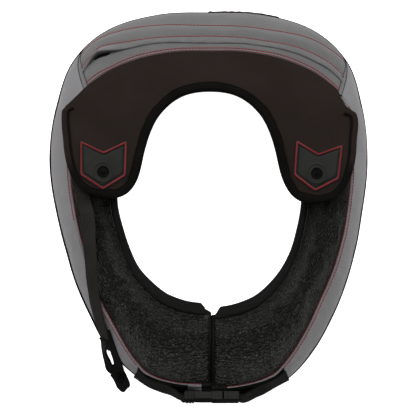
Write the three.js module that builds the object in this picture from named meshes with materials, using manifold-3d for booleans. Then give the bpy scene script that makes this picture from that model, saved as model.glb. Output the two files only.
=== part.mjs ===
// A padded neck collar for off-road riding: a foam ring, open at the throat and tallest at the nape.
// Grey cloth covers its outside, grained leather its front and sides, and a bound neoprene yoke its nape.
// Millimetres, +Z up, the wearer faces -Y. The collar rests on its flat base at z = 0.
import * as THREE from "three";
import { mergeVertices } from "three/addons/utils/BufferGeometryUtils.js";
import Module from "manifold-3d";

const wasm = await Module();
wasm.setup();
const { degToRad, radToDeg, lerp, smoothstep } = THREE.MathUtils;

// Driving sizes
const clearance = 0.4; // between neighbouring pieces
const slit = 2.6; // between the two front ends
const facingThick = 2.2;
const baseThick = 2.5;
const toe = 10; // how far the base's rounded edge reaches in from the belly
const cordStep = 0.8; // how far the base stands proud of the grey wall
const rim = 2; // width of the grey wall's top edge
const liningThick = 2.8;
const liningFoot = 0.6; // the lining stops this far above the floor
const notchDepth = 7; // how far the lining's front ends are cut back from the neck
const padEdgeRise = 0.6;
const padInnerThick = 1.9;
const foldThick = 1.7; // the lining's top fold, at its outer edge
const padFoam = 3; // how much of the leather's crown is its own filling
const padEnd = 112; // the leather ends under the yoke at this angle
const panelEdge = 136; // the nape panel ends at this angle
const panelThick = 1.5;
const wallShares = [0, 0.2, 0.4, 0.6, 0.8, 1];
const yokeThick = 4;
const bindingWall = 1;
const bindingGap = 0.5;
const bindingDepth = 6.5;
const yokeInset = 2.2; // the neoprene's cut edge lies this far inside the binding
const webThick = 1.6;
const webWide = 20;
const strapThick = 2.1;

// One row for each section, by its angle round the neck from the throat (0) to the nape (180).
// R is a distance from the neck's axis and Z a height above the floor.
const sections = table(
  "angle bellyR bellyZ seamR seamZ lipR  lipZ  floorR crown cover band",
  [0, 145.8, 8, 144, 30, 77.9, 27, 82, 8.5, 3, 9.5],
  [12, 146.5, 8, 143.8, 30.4, 77.4, 27.2, 81.4, 9, 3, 9.5],
  [19, 146.6, 8.2, 142, 30.7, 76.8, 27.4, 80.8, 9, 3, 9.5],
  [24, 144.4, 8.3, 136.7, 31, 76.4, 27.5, 80.4, 9, 3, 9.2],
  [36, 135.1, 8.7, 123.1, 32.2, 74, 28, 78, 8.5, 3, 8],
  [48, 126, 9, 113.9, 33.6, 72.2, 29, 76.9, 8, 3, 7],
  [62, 120.1, 9.3, 108, 36.3, 70, 31, 75.8, 7, 3, 6],
  [76, 118.3, 9.6, 106.2, 39.2, 69.3, 33.5, 75.3, 5.5, 3, 5.5],
  [92, 122.6, 10.3, 109.2, 42.8, 71.8, 37, 78.5, 4, 3, 5],
  [110, 136.3, 11.8, 118.9, 49, 76.2, 42.5, 84.2, 1.5, 3.4, 5],
  [126, 153.2, 13.5, 134, 54.5, 80.6, 50, 90.1, 0, 5.8, 5],
  [138, 168.5, 15.5, 134, 58, 84, 54.5, 95, 0, 6, 5],
  [150, 174.5, 17, 129.5, 61, 87, 58, 99.5, 0, 6, 5],
  [165, 171, 19, 123.7, 63.3, 90, 60.3, 104, 0, 6, 5],
  [180, 167, 20, 120.4, 64, 91, 61, 106, 0, 6, 5],
);
const loopAngles = [
  0, 3, 6, 10, 15, 19, 22, 25, 29, 35, 42, 50, 59, 69, 80, 91, 102, 112, 120, 128, 134, 136, 141, 147, 153,
  160, 166, 173, 180,
];

// The yoke past its round lobes, to the nape. In and out are its two edges.
const yokeRows = table(
  "angle inR  outR   inZ  outZ",
  [91, 60, 119.5, 49.2, 53.2],
  [97, 60, 119.5, 50, 55.9],
  [103, 60, 119.5, 51.1, 57.6],
  [107, 60, 119.5, 51.9, 58.3],
  [116, 60.6, 130.2, 53.8, 59],
  [123.5, 62.3, 138.6, 55.8, 60.2],
  [128, 64.7, 132.2, 57, 60.4],
  [134, 68.3, 131.4, 58.4, 60.2],
  [141, 73, 130, 60, 60.8],
  [150, 79.5, 126.6, 61.8, 62.2],
  [165, 86.4, 120.8, 63.4, 64.1],
  [180, 87.4, 117.5, 64, 64.8],
);
const lobeTip = 91; // angle of a lobe's end
const lobeFull = 107; // angle where a lobe has its full width
const lobeTipR = 80; // distance of a lobe's end from the neck's axis
const lobeWide = 60;
const yokeArch = 1.2; // how far the yoke's middle stands above a straight line between its edges
const yokeCorner = 124; // the binding ends at this angle, on the yoke's outer edge
const yokeAngles = [
  93.3, 93.9, 95, 96.6, 99, 102, 105.5, 110, 116, 121, 123.5, 126, 129, 134, 140, 146, 152, 159, 166, 173,
  180,
];

// The nape panel's padding over its height: share runs from the base up to the yoke, thick stands out.
const panelRows = [
  { share: 0, thick: 0.2 },
  { share: 0.1, thick: 0.8 },
  { share: 0.3, thick: 1.4 },
  { share: 0.5, thick: 1.4 },
  { share: 0.6, thick: 0.5 },
  { share: 0.69, thick: 1.4 },
  { share: 0.78, thick: 0.6 },
  { share: 0.83, thick: 1.4 },
  { share: 0.872, thick: 1.3 },
  { share: 0.88, thick: 0.1 },
  { share: 0.915, thick: 0.6 },
  { share: 0.95, thick: 0 },
  { share: 1, thick: 0 },
];

// The loose strap's route, from its tab on the floor, up the wall and along the seam to the left lobe.
// lean turns it from lying flat (0) to standing on its edge (90), facing out.
const strapRows = table(
  "angle r     z     lean wide",
  [24.2, 157.2, 1.6, 0, 5],
  [24.7, 156, 1.6, 0, 9],
  [25.6, 153.7, 1.6, 0, 12],
  [28, 148.4, 1.6, 0, 12],
  [29.4, 146.4, 1.6, 0, 12],
  [31, 144.6, 3.4, 26, 12],
  [32.6, 142.6, 7, 56, 11.5],
  [34.6, 139, 13.6, 72, 11],
  [36.9, 133, 21.3, 66, 11],
  [39.8, 128.3, 26.2, 59, 11],
  [42.9, 124, 29.2, 54, 11],
  [46, 119.8, 32, 48, 11],
  [49.2, 115.9, 34.5, 42, 11],
  [52.7, 112, 36.9, 38, 11],
  [58.2, 107, 39.4, 30, 11],
  [64.1, 102.5, 42, 26, 11],
  [70.5, 99.4, 43.9, 18, 11],
  [77.4, 97.4, 45.2, 11, 11],
  [84.4, 97.5, 46.4, 6, 11],
  [91.4, 100.5, 46.2, 3, 11],
  [97, 104.3, 47.3, 5, 11],
  [102, 108, 48.9, 5, 11],
);
const tabBend = 30; // the tab lies flat below this angle
const tabHole = { angle: 27.2, r: 149.6, radius: 2 };

// A chevron badge on each lobe, with its press stud
const badge = { angle: 108, r: 89.5, wide: 37, tall: 39, notch: 9, thick: 1.6, turnLeft: 0, turnRight: 6 };
const stud = { down: 5.5, capR: 5, capHigh: 2.2, dishR: 2.6, dishDeep: 1.2, postR: 2, footR: 5, footHigh: 2 };

// The side-release buckle of the front strap, and where the strap is sewn to the wall
const buckle = { tall: 28, thick: 6.4, plugEnd: -20.2, mouth: 1.3, socketEnd: 23, lean: 1.5, out: 5.1, z: 16.5 };
const webRows = [
  { angle: 22.6, out: 0 },
  { angle: 20, out: 0.1 },
  { angle: 17, out: 0.6 },
  { angle: 14, out: 1.6 },
  { angle: 11.5, out: 3 },
];
const webShare = 0.42; // height of the strap's middle on the wall

// Reads rows of numbers under a line of column names.
function table(names, ...rows) {
  const columns = names.trim().split(/\s+/);
  return rows.map((row) => Object.fromEntries(columns.map((name, i) => [name, row[i]])));
}

// A smooth row between a table's rows, level at both ends.
function rowAt(rows, angle) {
  const last = rows.length - 1;
  let k = 0;
  while (k < last - 1 && rows[k + 1].angle <= angle) k++;
  const span = rows[k + 1].angle - rows[k].angle;
  const t = Math.min(1, Math.max(0, (angle - rows[k].angle) / span));
  const slope = (j, name) => {
    const [before, after] = [rows[j - 1], rows[j + 1]];
    return before && after ? (after[name] - before[name]) / (after.angle - before.angle) : 0;
  };
  const made = {};
  for (const name of Object.keys(rows[0])) {
    const [a, b] = [rows[k][name], rows[k + 1][name]];
    const [fromA, intoB] = [slope(k, name) * span, slope(k + 1, name) * span];
    const turnOver = t * t * (3 - 2 * t);
    made[name] = lerp(a, b, turnOver) + t * (1 - t) ** 2 * fromA - t * t * (1 - t) * intoB;
  }
  return { ...made, angle };
}

// A point by its turn round the neck: 0 is the left front end, 180 the nape and 360 the right front end.
// The two halves stand apart at the front and meet at the nape.
const apart = (turn) => ((slit / 2 + facingThick + clearance) * (1 + Math.cos(degToRad(turn)))) / 2;
function place(turn, r, z) {
  const a = degToRad(turn);
  const shift = turn <= 180 ? -apart(turn) : apart(turn);
  return new THREE.Vector3(-Math.sin(a) * r + shift, -Math.cos(a) * r, z);
}
// The angle and distance that place would need for a point.
function polar(point) {
  let angle = 90;
  let x = 0;
  for (let i = 0; i < 4; i++) {
    x = Math.abs(point.x) - apart(angle);
    angle = radToDeg(Math.atan2(x, -point.y));
  }
  return { angle, r: Math.hypot(x, point.y) };
}
const fold = (turn) => (turn <= 180 ? turn : 360 - turn);
const bothSides = (angles) => [...angles, ...angles.filter((a) => a < 180).map((a) => 360 - a).reverse()];
const sectionAt = (turn) => rowAt(sections, fold(turn));

// A closed solid through rings of points, capped at both ends.
function loft(rings) {
  const around = rings[0].length;
  const points = rings.flat();
  const faces = [];
  for (let i = 0; i + 1 < rings.length; i++)
    for (let j = 0; j < around; j++) {
      const [a, b] = [i * around + j, i * around + ((j + 1) % around)];
      faces.push([a, b, b + around], [a, b + around, a + around]);
    }
  const first = capFaces(rings[0]);
  const end = (rings.length - 1) * around;
  faces.push(...first.map(([a, b, c]) => [c, b, a]));
  faces.push(...capFaces(rings.at(-1)).map(([a, b, c]) => [a + end, b + end, c + end]));
  return outward(points, faces);
}

// Triangles that fill a flat ring of points, in the ring's own direction.
function capFaces(ring) {
  const middle = ring.reduce((sum, p) => sum.add(p), new THREE.Vector3()).divideScalar(ring.length);
  const normal = new THREE.Vector3();
  ring.forEach((p, i) => {
    const [a, b] = [p.clone().sub(middle), ring[(i + 1) % ring.length].clone().sub(middle)];
    normal.add(a.cross(b));
  });
  normal.normalize();
  const helper = Math.abs(normal.z) < 0.9 ? new THREE.Vector3(0, 0, 1) : new THREE.Vector3(1, 0, 0);
  const u = helper.clone().cross(normal).normalize();
  const v = normal.clone().cross(u);
  const flat = ring.map((p) => new THREE.Vector2(p.dot(u), p.dot(v)));
  return THREE.ShapeUtils.triangulateShape(flat, []);
}

// A geometry from points and triangles, turned so that its faces point out.
function outward(points, faces) {
  let volume = 0;
  for (const [a, b, c] of faces) volume += points[a].dot(points[b].clone().cross(points[c]));
  const turned = volume < 0 ? faces.map(([a, b, c]) => [c, b, a]) : faces;
  const geometry = new THREE.BufferGeometry();
  geometry.setAttribute("position", new THREE.Float32BufferAttribute(points.flatMap((p) => p.toArray()), 3));
  geometry.setIndex(turned.flat());
  return geometry;
}

// A loft round the neck whose section is a list of [r, z] for each turn.
function ringLoft(turns, outline) {
  return loft(turns.map((turn) => outline(sectionAt(turn)).map(([r, z]) => place(turn, r, z))));
}

// A geometry as a solid that can be cut, and back again.
function solidOf(geometry) {
  const bare = geometry.clone();
  bare.deleteAttribute("normal");
  bare.deleteAttribute("uv");
  const merged = mergeVertices(bare, 1e-4);
  const vertProperties = new Float32Array(merged.attributes.position.array);
  const triVerts = new Uint32Array(merged.index.array);
  return new wasm.Manifold(new wasm.Mesh({ numProp: 3, vertProperties, triVerts }));
}
function cut(geometry, ...tools) {
  const mesh = tools.reduce((left, tool) => left.subtract(solidOf(tool)), solidOf(geometry)).getMesh();
  const made = new THREE.BufferGeometry();
  made.setAttribute("position", new THREE.Float32BufferAttribute(mesh.vertProperties, 3));
  made.setIndex(Array.from(mesh.triVerts));
  return made;
}

const collar = new THREE.Group();
function addTo(group, name, geometry, color, roughness, metalness = 0) {
  const mesh = new THREE.Mesh(geometry, new THREE.MeshStandardMaterial({ color, roughness, metalness }));
  mesh.name = name;
  group.add(mesh);
  return mesh;
}
const finish = {
  greyCloth: ["#84838a", 0.8],
  leather: ["#2b2b29", 0.45],
  neoprene: ["#2e2725", 0.85],
  blackCloth: ["#171717", 0.85],
  plastic: ["#2a2a2b", 0.4],
  darkMetal: ["#1c1c1c", 0.35, 0.8],
  badge: ["#333534", 0.6],
};

// The grey wall's line from the base up to its top edge, as [r, z], with its outward normal.
const wallBow = { reach: 0.85, rise: 0.6 };
function wall(s, share) {
  const foot = [s.bellyR - cordStep, s.bellyZ + clearance];
  const head = [s.seamR, s.seamZ];
  const bow = [lerp(head[0], foot[0], wallBow.reach), lerp(foot[1], head[1], wallBow.rise)];
  const at = (k) => (1 - share) ** 2 * foot[k] + 2 * share * (1 - share) * bow[k] + share ** 2 * head[k];
  const along = (k) => 2 * (1 - share) * (bow[k] - foot[k]) + 2 * share * (head[k] - bow[k]);
  const [dr, dz] = [along(0), along(1)];
  const length = Math.hypot(dr, dz);
  return { r: at(0), z: at(1), out: [dz / length, -dr / length] };
}
function wallPoint(s, share, thick) {
  const p = wall(s, share);
  return [p.r + p.out[0] * thick, p.z + p.out[1] * thick];
}

// The foam's top, under the leather and the yoke.
const lipInner = (s) => s.lipR + liningThick + clearance;
function foamTop(s, r) {
  const [outer, inner] = [s.seamR - rim, lipInner(s)];
  const q = (outer - r) / (outer - inner);
  const bulge = Math.max(0, s.crown - padFoam) * Math.sin(Math.PI * Math.min(1, Math.max(0, q)));
  return lerp(s.seamZ, s.lipZ, q) - s.cover + bulge;
}

// The lining's front ends are cut back to a notch.
const lipAtFront = (s) => s.lipR + notchDepth * (1 - smoothstep(s.angle, 2.5, 8));

// Points of the base's rounded edge, inset by a thickness.
const edgeTurns = [30, 60, 90].map(degToRad);
const baseEdge = (s, inset) =>
  edgeTurns.map((t) => [
    s.bellyR - toe + (toe - inset) * Math.sin(t),
    inset + (s.bellyZ - inset) * (1 - Math.cos(t)),
  ]);

function greyShell() {
  const under = baseThick + clearance;
  const across = [0.25, 0.5, 0.75];
  return ringLoft(bothSides(loopAngles), (s) => {
    const sunk = (panelThick + clearance) * smoothstep(s.angle, 133, panelEdge);
    const top = [s.seamR - rim, s.seamZ - s.cover];
    const lip = [Math.max(lipInner(s), lipAtFront(s) + liningThick + clearance), s.lipZ - s.cover];
    return [
      [s.floorR + liningThick + clearance, under],
      [s.bellyR - toe, under],
      ...baseEdge(s, under),
      ...wallShares.map((share) => wallPoint(s, share, -sunk)),
      [s.seamR - rim, s.seamZ - sunk],
      top,
      ...across.map((q) => {
        const r = lerp(top[0], lip[0], q);
        return [r, foamTop(s, r)];
      }),
      lip,
    ];
  });
}

function basePanel() {
  return ringLoft(bothSides(loopAngles), (s) => [
    [s.floorR + liningThick + clearance, 0],
    [s.bellyR - toe, 0],
    ...baseEdge(s, 0),
    ...baseEdge(s, baseThick).reverse(),
    [s.bellyR - toe, baseThick],
    [s.floorR + liningThick + clearance, baseThick],
  ]);
}

function neckLining() {
  return ringLoft(bothSides(loopAngles), (s) => {
    const lip = lipAtFront(s);
    const under = s.lipZ - s.cover + clearance;
    const top = under + liningThick;
    const outer = Math.max(s.lipR + s.band, lip + liningThick + 1);
    return [
      [s.floorR, liningFoot],
      [lip, under - 1],
      [lip + 0.8, top - 0.9],
      [lip + 2.4, top],
      [outer, foamTop(s, outer) + clearance + foldThick],
      [outer, foamTop(s, outer) + clearance],
      [lip + liningThick, under],
      [s.floorR + liningThick, liningFoot],
    ];
  });
}

function leatherPad(side) {
  const angles = loopAngles.filter((a) => a <= padEnd);
  const across = [0, 0.06, 0.16, 0.3, 0.45, 0.6, 0.75, 0.9, 1];
  return ringLoft(
    angles.map((a) => (side < 0 ? a : 360 - a)),
    (s) => {
      const outer = s.seamR - rim - clearance;
      const inner = Math.max(s.lipR + s.band, lipAtFront(s) + liningThick + 1) + clearance;
      const crown = (q) => s.crown * Math.sin(Math.PI * q) ** 0.8;
      const high = across.map((q) => [
        lerp(outer, inner, q),
        lerp(s.seamZ + padEdgeRise, foamTop(s, inner) + clearance + padInnerThick, q) + crown(q),
      ]);
      const low = across.map((q) => {
        const r = lerp(outer, inner, q);
        return [r, foamTop(s, r) + clearance];
      });
      return [...high, ...low.reverse()];
    },
  );
}

// A black facing that closes each front end, slightly inside the section's outline.
function frontFacing(side) {
  const s = sectionAt(0);
  const inset = 0.5;
  const inner = lipAtFront(s) + 0.8;
  const across = [0, 0.2, 0.4, 0.6, 0.8, 1];
  const outline = [
    [s.floorR + liningThick, inset],
    [s.bellyR - toe, inset],
    ...baseEdge(s, inset),
    ...[0.3, 0.6, 1].map((share) => wallPoint(s, share, -inset)),
    ...across.map((q) => [
      lerp(s.seamR - rim, inner + 2, q),
      lerp(s.seamZ, s.lipZ, q) + s.crown * Math.sin(Math.PI * q) ** 0.8 - inset,
    ]),
    [inner, s.lipZ - 3],
  ];
  const faces = [slit / 2, slit / 2 + facingThick];
  return loft(faces.map((x) => outline.map(([r, z]) => new THREE.Vector3(side * x, -r, z))));
}

function napePanel() {
  const turns = bothSides(loopAngles.filter((a) => a >= panelEdge));
  const back = [...wallShares].reverse();
  return ringLoft(turns, (s) => [
    ...panelRows.map(({ share, thick }) => wallPoint(s, share, thick)),
    ...back.map((share) => wallPoint(s, share, -panelThick)),
  ]);
}

// The yoke's edges at an angle, with the lobe's round end. t runs from its outer edge (0) to its inner (1).
function yokeAt(angle, inset = 0) {
  const row = rowAt(yokeRows, angle);
  const bound = 1 - smoothstep(angle, yokeCorner, yokeCorner + 4);
  if (angle >= lobeFull) return { ...row, inR: row.inR + inset, outR: row.outR - inset * bound };
  const full = rowAt(yokeRows, lobeFull);
  const tip = lobeTip + radToDeg((1.3 * inset) / lobeTipR);
  const back = Math.min(1, (lobeFull - angle) / (lobeFull - tip));
  const half = ((full.outR - full.inR) / 2 - inset) * Math.sqrt(1 - back * back);
  const middle = lerp((full.outR + full.inR) / 2, lobeTipR, back * back);
  return { ...row, inR: middle - half, outR: middle + half };
}
function yokeTop(angle, r) {
  const row = rowAt(yokeRows, angle);
  const t = (row.outR - r) / (row.outR - row.inR);
  const arch = yokeArch * Math.min(1, (row.outR - row.inR) / lobeWide) ** 2;
  return lerp(row.outZ, row.inZ, t) + arch * 4 * t * (1 - t);
}
function yokePoint(turn, t, depth, inset = 0) {
  const row = yokeAt(fold(turn), inset);
  const r = lerp(row.outR, row.inR, t);
  return place(turn, r, yokeTop(fold(turn), r) - depth);
}

function yokePanel() {
  const across = [0, 0.12, 0.3, 0.5, 0.7, 0.88, 1];
  const rings = bothSides(yokeAngles).map((turn) => [
    ...across.map((t) => yokePoint(turn, t, 0, yokeInset)),
    ...[...across].reverse().map((t) => yokePoint(turn, t, yokeThick, yokeInset)),
  ]);
  return loft(rings);
}

// The binding folds round the yoke's free edge, from one outer corner to the other.
function yokeBinding() {
  const outerAngles = [124, 120, 115, 110, 105, 101, 97.5, 95, 93.2, 92];
  const innerAngles = [92, 93.2, 95, 97.5, 101, 106, 112, 120, 128, 136, 145, 155, 167, 180];
  const middle = yokeThick / 2;
  const half = [
    ...outerAngles.map((a) => [a, 0]),
    [lobeTip, 0.5],
    ...innerAngles.map((a) => [a, 1]),
  ];
  const left = half.map(([a, t]) => yokePoint(a, t, middle));
  const right = half.slice(0, -1).map(([a, t]) => yokePoint(360 - a, t, middle));
  const route = new THREE.CatmullRomCurve3([...left, ...right.reverse()]);
  const steps = 76;
  const points = route.getSpacedPoints(steps);
  const h = middle + bindingGap + bindingWall;
  const w = bindingWall;
  const section = [
    [0, -h * 0.7],
    [1, -h],
    [bindingDepth, -h],
    [bindingDepth, w - h],
    [w, w - h],
    [w, h - w],
    [bindingDepth, h - w],
    [bindingDepth, h],
    [1, h],
    [0, h * 0.7],
  ];
  const up = new THREE.Vector3(0, 0, 1);
  const rings = points.map((p, i) => {
    const along = points[Math.min(steps, i + 1)].clone().sub(points[Math.max(0, i - 1)]).normalize();
    const level = up.clone().cross(along).normalize();
    const inside = level.clone().add(up.clone().multiplyScalar(yokeSlope(p, level)));
    inside.addScaledVector(along, -inside.dot(along)).normalize();
    const high = along.clone().cross(inside).normalize();
    if (high.z < 0) high.negate();
    return section.map(([depth, z]) => p.clone().addScaledVector(inside, depth).addScaledVector(high, z));
  });
  return loft(rings);
}

// How steeply the yoke rises from a point on its edge in a level direction.
function yokeSlope(point, level) {
  const reach = bindingDepth;
  const ends = [0, reach].map((d) => polar(point.clone().addScaledVector(level, d)));
  const [near, far] = ends.map(({ angle, r }) => yokeTop(angle, r));
  return (far - near) / reach;
}

// A flat band along points, with its own width and lean at each.
function band(rows, thick) {
  const rings = rows.map(({ point, across, wide }, i) => {
    const along = rows[Math.min(rows.length - 1, i + 1)].point.clone().sub(rows[Math.max(0, i - 1)].point);
    const side = across.clone().addScaledVector(along.normalize(), -across.dot(along)).normalize();
    const face = along.clone().cross(side).normalize();
    const corner = (a, b) => point.clone().addScaledVector(side, a * wide).addScaledVector(face, b * thick);
    return [corner(-0.5, -0.5), corner(0.5, -0.5), corner(0.5, 0.5), corner(-0.5, 0.5)];
  });
  return loft(rings);
}

function looseStrap() {
  const angles = new Set(strapRows.map((row) => row.angle));
  for (let a = tabBend; a < strapRows.at(-1).angle; a += 2.5) angles.add(a);
  const route = [...angles].sort((a, b) => a - b).map((angle) => rowAt(strapRows, angle));
  const points = route.map(({ angle, r, z }) => place(angle, r, z));
  const rows = route.map(({ lean, wide }, i) => {
    const along = points[Math.min(points.length - 1, i + 1)].clone().sub(points[Math.max(0, i - 1)]);
    const level = new THREE.Vector3(-along.y, along.x, 0).normalize();
    const across = level.multiplyScalar(Math.cos(degToRad(lean))).setZ(-Math.sin(degToRad(lean)));
    return { point: points[i], across, wide };
  });
  const hole = new THREE.CylinderGeometry(tabHole.radius, tabHole.radius, 12, 16);
  hole.rotateX(Math.PI / 2);
  hole.translate(...place(tabHole.angle, tabHole.r, 0).toArray());
  return cut(band(rows, strapThick), hole);
}

function tabEyelet() {
  const outer = 4.4;
  const high = 1;
  const seat = 1.6 + strapThick / 2 + 0.3;
  const profile = [
    [tabHole.radius, 0],
    [outer, 0],
    [outer, high * 0.6],
    [outer - 0.6, high],
    [tabHole.radius + 0.4, high],
    [tabHole.radius, high * 0.6],
    [tabHole.radius, 0],
  ];
  const ring = new THREE.LatheGeometry(profile.map(([r, z]) => new THREE.Vector2(r, z)), 16);
  ring.rotateX(Math.PI / 2);
  ring.translate(...place(tabHole.angle, tabHole.r, seat).toArray());
  return ring;
}

// The badge lies on the lobe's slope: its frame is the yoke's own there.
function lobeFrame(side) {
  const turn = side < 0 ? badge.angle : 360 - badge.angle;
  const step = 3;
  const at = (a, r) => place(a, r, yokeTop(fold(a), r));
  const middle = at(turn, badge.r);
  const outwards = at(turn, badge.r + step).sub(at(turn, badge.r - step));
  const around = at(turn + step, badge.r).sub(at(turn - step, badge.r));
  const up = around.clone().cross(outwards).normalize();
  if (up.z < 0) up.negate();
  const spin = degToRad(side < 0 ? badge.turnLeft : badge.turnRight);
  const y = new THREE.Vector3(Math.sin(spin), Math.cos(spin), 0);
  y.addScaledVector(up, -y.dot(up)).normalize();
  const x = y.clone().cross(up);
  const group = new THREE.Group();
  group.matrixAutoUpdate = false;
  group.matrix.makeBasis(x, y, up).setPosition(middle);
  return group;
}

const badgeLift = 1.5;
function badgeShape() {
  const [w, h] = [badge.wide / 2, badge.tall / 2];
  const corners = [
    [-w, h],
    [0, h - badge.notch],
    [w, h],
    [w * 0.96, -h * 0.42],
    [0, -h],
    [-w * 0.96, -h * 0.42],
  ];
  return new THREE.Shape(corners.map(([x, y]) => new THREE.Vector2(x, y)));
}
function postHole(from, to) {
  const r = stud.postR + clearance;
  const hole = new THREE.CylinderGeometry(r, r, to - from, 16);
  hole.rotateX(Math.PI / 2);
  hole.translate(0, -stud.down, (from + to) / 2);
  return hole;
}
function badgePlate() {
  const plate = new THREE.ExtrudeGeometry(badgeShape(), { depth: badge.thick, bevelEnabled: false });
  plate.translate(0, 0, badgeLift);
  return cut(plate, postHole(-1, 6));
}

// The stud is one piece: a dished cap on the badge, a post through the yoke and a foot under it.
function pressStud() {
  const seat = badgeLift + badge.thick + clearance;
  const under = -yokeThick - clearance - 0.2;
  const profile = [
    [0, under - stud.footHigh],
    [stud.footR, under - stud.footHigh],
    [stud.footR, under],
    [stud.postR, under],
    [stud.postR, seat],
    [stud.capR, seat],
    [stud.capR, seat + stud.capHigh * 0.5],
    [stud.capR - 1, seat + stud.capHigh],
    [stud.dishR, seat + stud.capHigh],
    [stud.dishR - 0.6, seat + stud.capHigh - stud.dishDeep],
    [0, seat + stud.capHigh - stud.dishDeep],
  ];
  const turned = new THREE.LatheGeometry(profile.map(([r, z]) => new THREE.Vector2(r, z)), 16);
  turned.rotateX(Math.PI / 2);
  turned.translate(0, -stud.down, 0);
  return turned;
}

// The front strap leaves the wall and runs into the buckle's end.
function buckleFrame() {
  const s = sectionAt(0);
  const p = wall(s, 0.5);
  const group = new THREE.Group();
  group.position.set(0, -(p.r + buckle.out + (p.z - buckle.z) * Math.tan(degToRad(buckle.lean))), buckle.z);
  group.rotation.x = -degToRad(buckle.lean);
  return group;
}
function frontWeb(side, frame) {
  const rows = webRows.map(({ angle, out }) => {
    const turn = side < 0 ? angle : 360 - angle;
    const s = sectionAt(turn);
    const [r, z] = wallPoint(s, webShare, clearance + webThick / 2 + out);
    const [lowR, lowZ] = wallPoint(s, webShare - 0.3, 0);
    const [highR, highZ] = wallPoint(s, webShare + 0.3, 0);
    const across = place(turn, highR, highZ).sub(place(turn, lowR, lowZ)).normalize();
    return { point: place(turn, r, z), across, wide: webWide };
  });
  frame.updateMatrix();
  const up = new THREE.Vector3(0, 0, 1).applyEuler(frame.rotation);
  const end = side < 0 ? buckle.plugEnd : buckle.socketEnd;
  for (const x of [end + side * 5, end + side, end - side * 3]) {
    const point = new THREE.Vector3(x, 0, 0).applyMatrix4(frame.matrix);
    rows.push({ point, across: up, wide: webWide });
  }
  return band(rows, webThick);
}

// A slab in the buckle's frame: x along it, y through it and z up it.
function slab(shape, thick) {
  const made = new THREE.ExtrudeGeometry(shape, { depth: thick, bevelEnabled: false });
  made.rotateX(Math.PI / 2);
  made.translate(0, thick / 2, 0);
  return made;
}
function block(x0, x1, thick, tall, z = 0) {
  const made = new THREE.BoxGeometry(x1 - x0, thick, tall);
  made.translate((x0 + x1) / 2, 0, z);
  return made;
}
const webSlot = (x0, x1) => block(x0, x1, webThick + 2 * clearance, webWide + 2 * clearance);

function bucklePlug() {
  const armReach = 7;
  const half = [
    [buckle.plugEnd, -12.4],
    [buckle.plugEnd + 1, -13.4],
    [-13.4, -13.4],
    [-12.4, -12.2],
    [-7, -13.2],
    [-1, -12.8],
    [armReach, -11.6],
    [armReach, -9],
    [-1, -8.8],
    [-10.6, -8.6],
    [-10.6, -3],
    [armReach + 1, -2.6],
  ];
  const mirrored = half.map(([x, z]) => [x, -z]).reverse();
  const shape = new THREE.Shape([...half, ...mirrored].map(([x, z]) => new THREE.Vector2(x, z)));
  return cut(slab(shape, 4.4), webSlot(buckle.plugEnd - 1, buckle.plugEnd + 4));
}

function buckleSocket() {
  const tall = buckle.tall / 2;
  const corners = [
    [buckle.mouth, -tall + 0.6],
    [buckle.mouth + 1, -tall],
    [13, -tall],
    [14.2, -tall + 1],
    [buckle.socketEnd - 1, -tall + 1],
    [buckle.socketEnd, -tall + 2],
  ];
  const mirrored = corners.map(([x, z]) => [x, -z]).reverse();
  const shape = new THREE.Shape([...corners, ...mirrored].map(([x, z]) => new THREE.Vector2(x, z)));
  const hollow = block(buckle.mouth - 1, 11, 5, 2 * 12.7);
  const windows = block(5.4, 10, 5, buckle.tall + 4);
  return cut(slab(shape, buckle.thick), hollow, windows, webSlot(buckle.socketEnd - 4, buckle.socketEnd + 1));
}

const sides = [
  ["left", -1],
  ["right", 1],
];
addTo(collar, "outer_shell", greyShell(), ...finish.greyCloth);
addTo(collar, "nape_panel", napePanel(), ...finish.greyCloth);
addTo(collar, "base_panel", basePanel(), ...finish.blackCloth);
addTo(collar, "neck_lining", neckLining(), ...finish.blackCloth);
addTo(collar, "yoke", yokePanelWithHoles(), ...finish.neoprene);
addTo(collar, "yoke_binding", yokeBinding(), ...finish.blackCloth);
addTo(collar, "side_strap", looseStrap(), ...finish.blackCloth);
addTo(collar, "tab_eyelet", tabEyelet(), ...finish.darkMetal);
for (const [name, side] of sides) {
  addTo(collar, `leather_pad_${name}`, leatherPad(side), ...finish.leather);
  addTo(collar, `front_facing_${name}`, frontFacing(side), ...finish.blackCloth);
  const lobe = lobeFrame(side);
  addTo(lobe, `badge_${name}`, badgePlate(), ...finish.badge);
  addTo(lobe, `press_stud_${name}`, pressStud(), ...finish.darkMetal);
  collar.add(lobe);
}
const buckleGroup = buckleFrame();
addTo(buckleGroup, "buckle_plug", bucklePlug(), ...finish.plastic);
addTo(buckleGroup, "buckle_socket", buckleSocket(), ...finish.plastic);
for (const [name, side] of sides)
  addTo(collar, `front_strap_${name}`, frontWeb(side, buckleGroup), ...finish.blackCloth);
collar.add(buckleGroup);

// Holes for the studs' posts, through the yoke.
function yokePanelWithHoles() {
  const tools = sides.map(([, side]) => postHole(-yokeThick - 4, 4).applyMatrix4(lobeFrame(side).matrix));
  return cut(yokePanel(), ...tools);
}

// The origin lies under the middle of the whole collar, buckle included.
const box = new THREE.Box3().setFromObject(collar);
collar.position.y = -(box.min.y + box.max.y) / 2;

export default collar;
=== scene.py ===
import math
from itertools import product
from types import SimpleNamespace

import bmesh
import bpy
import numpy as np
from mathutils import Matrix, Vector
from mathutils.bvhtree import BVHTree


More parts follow.
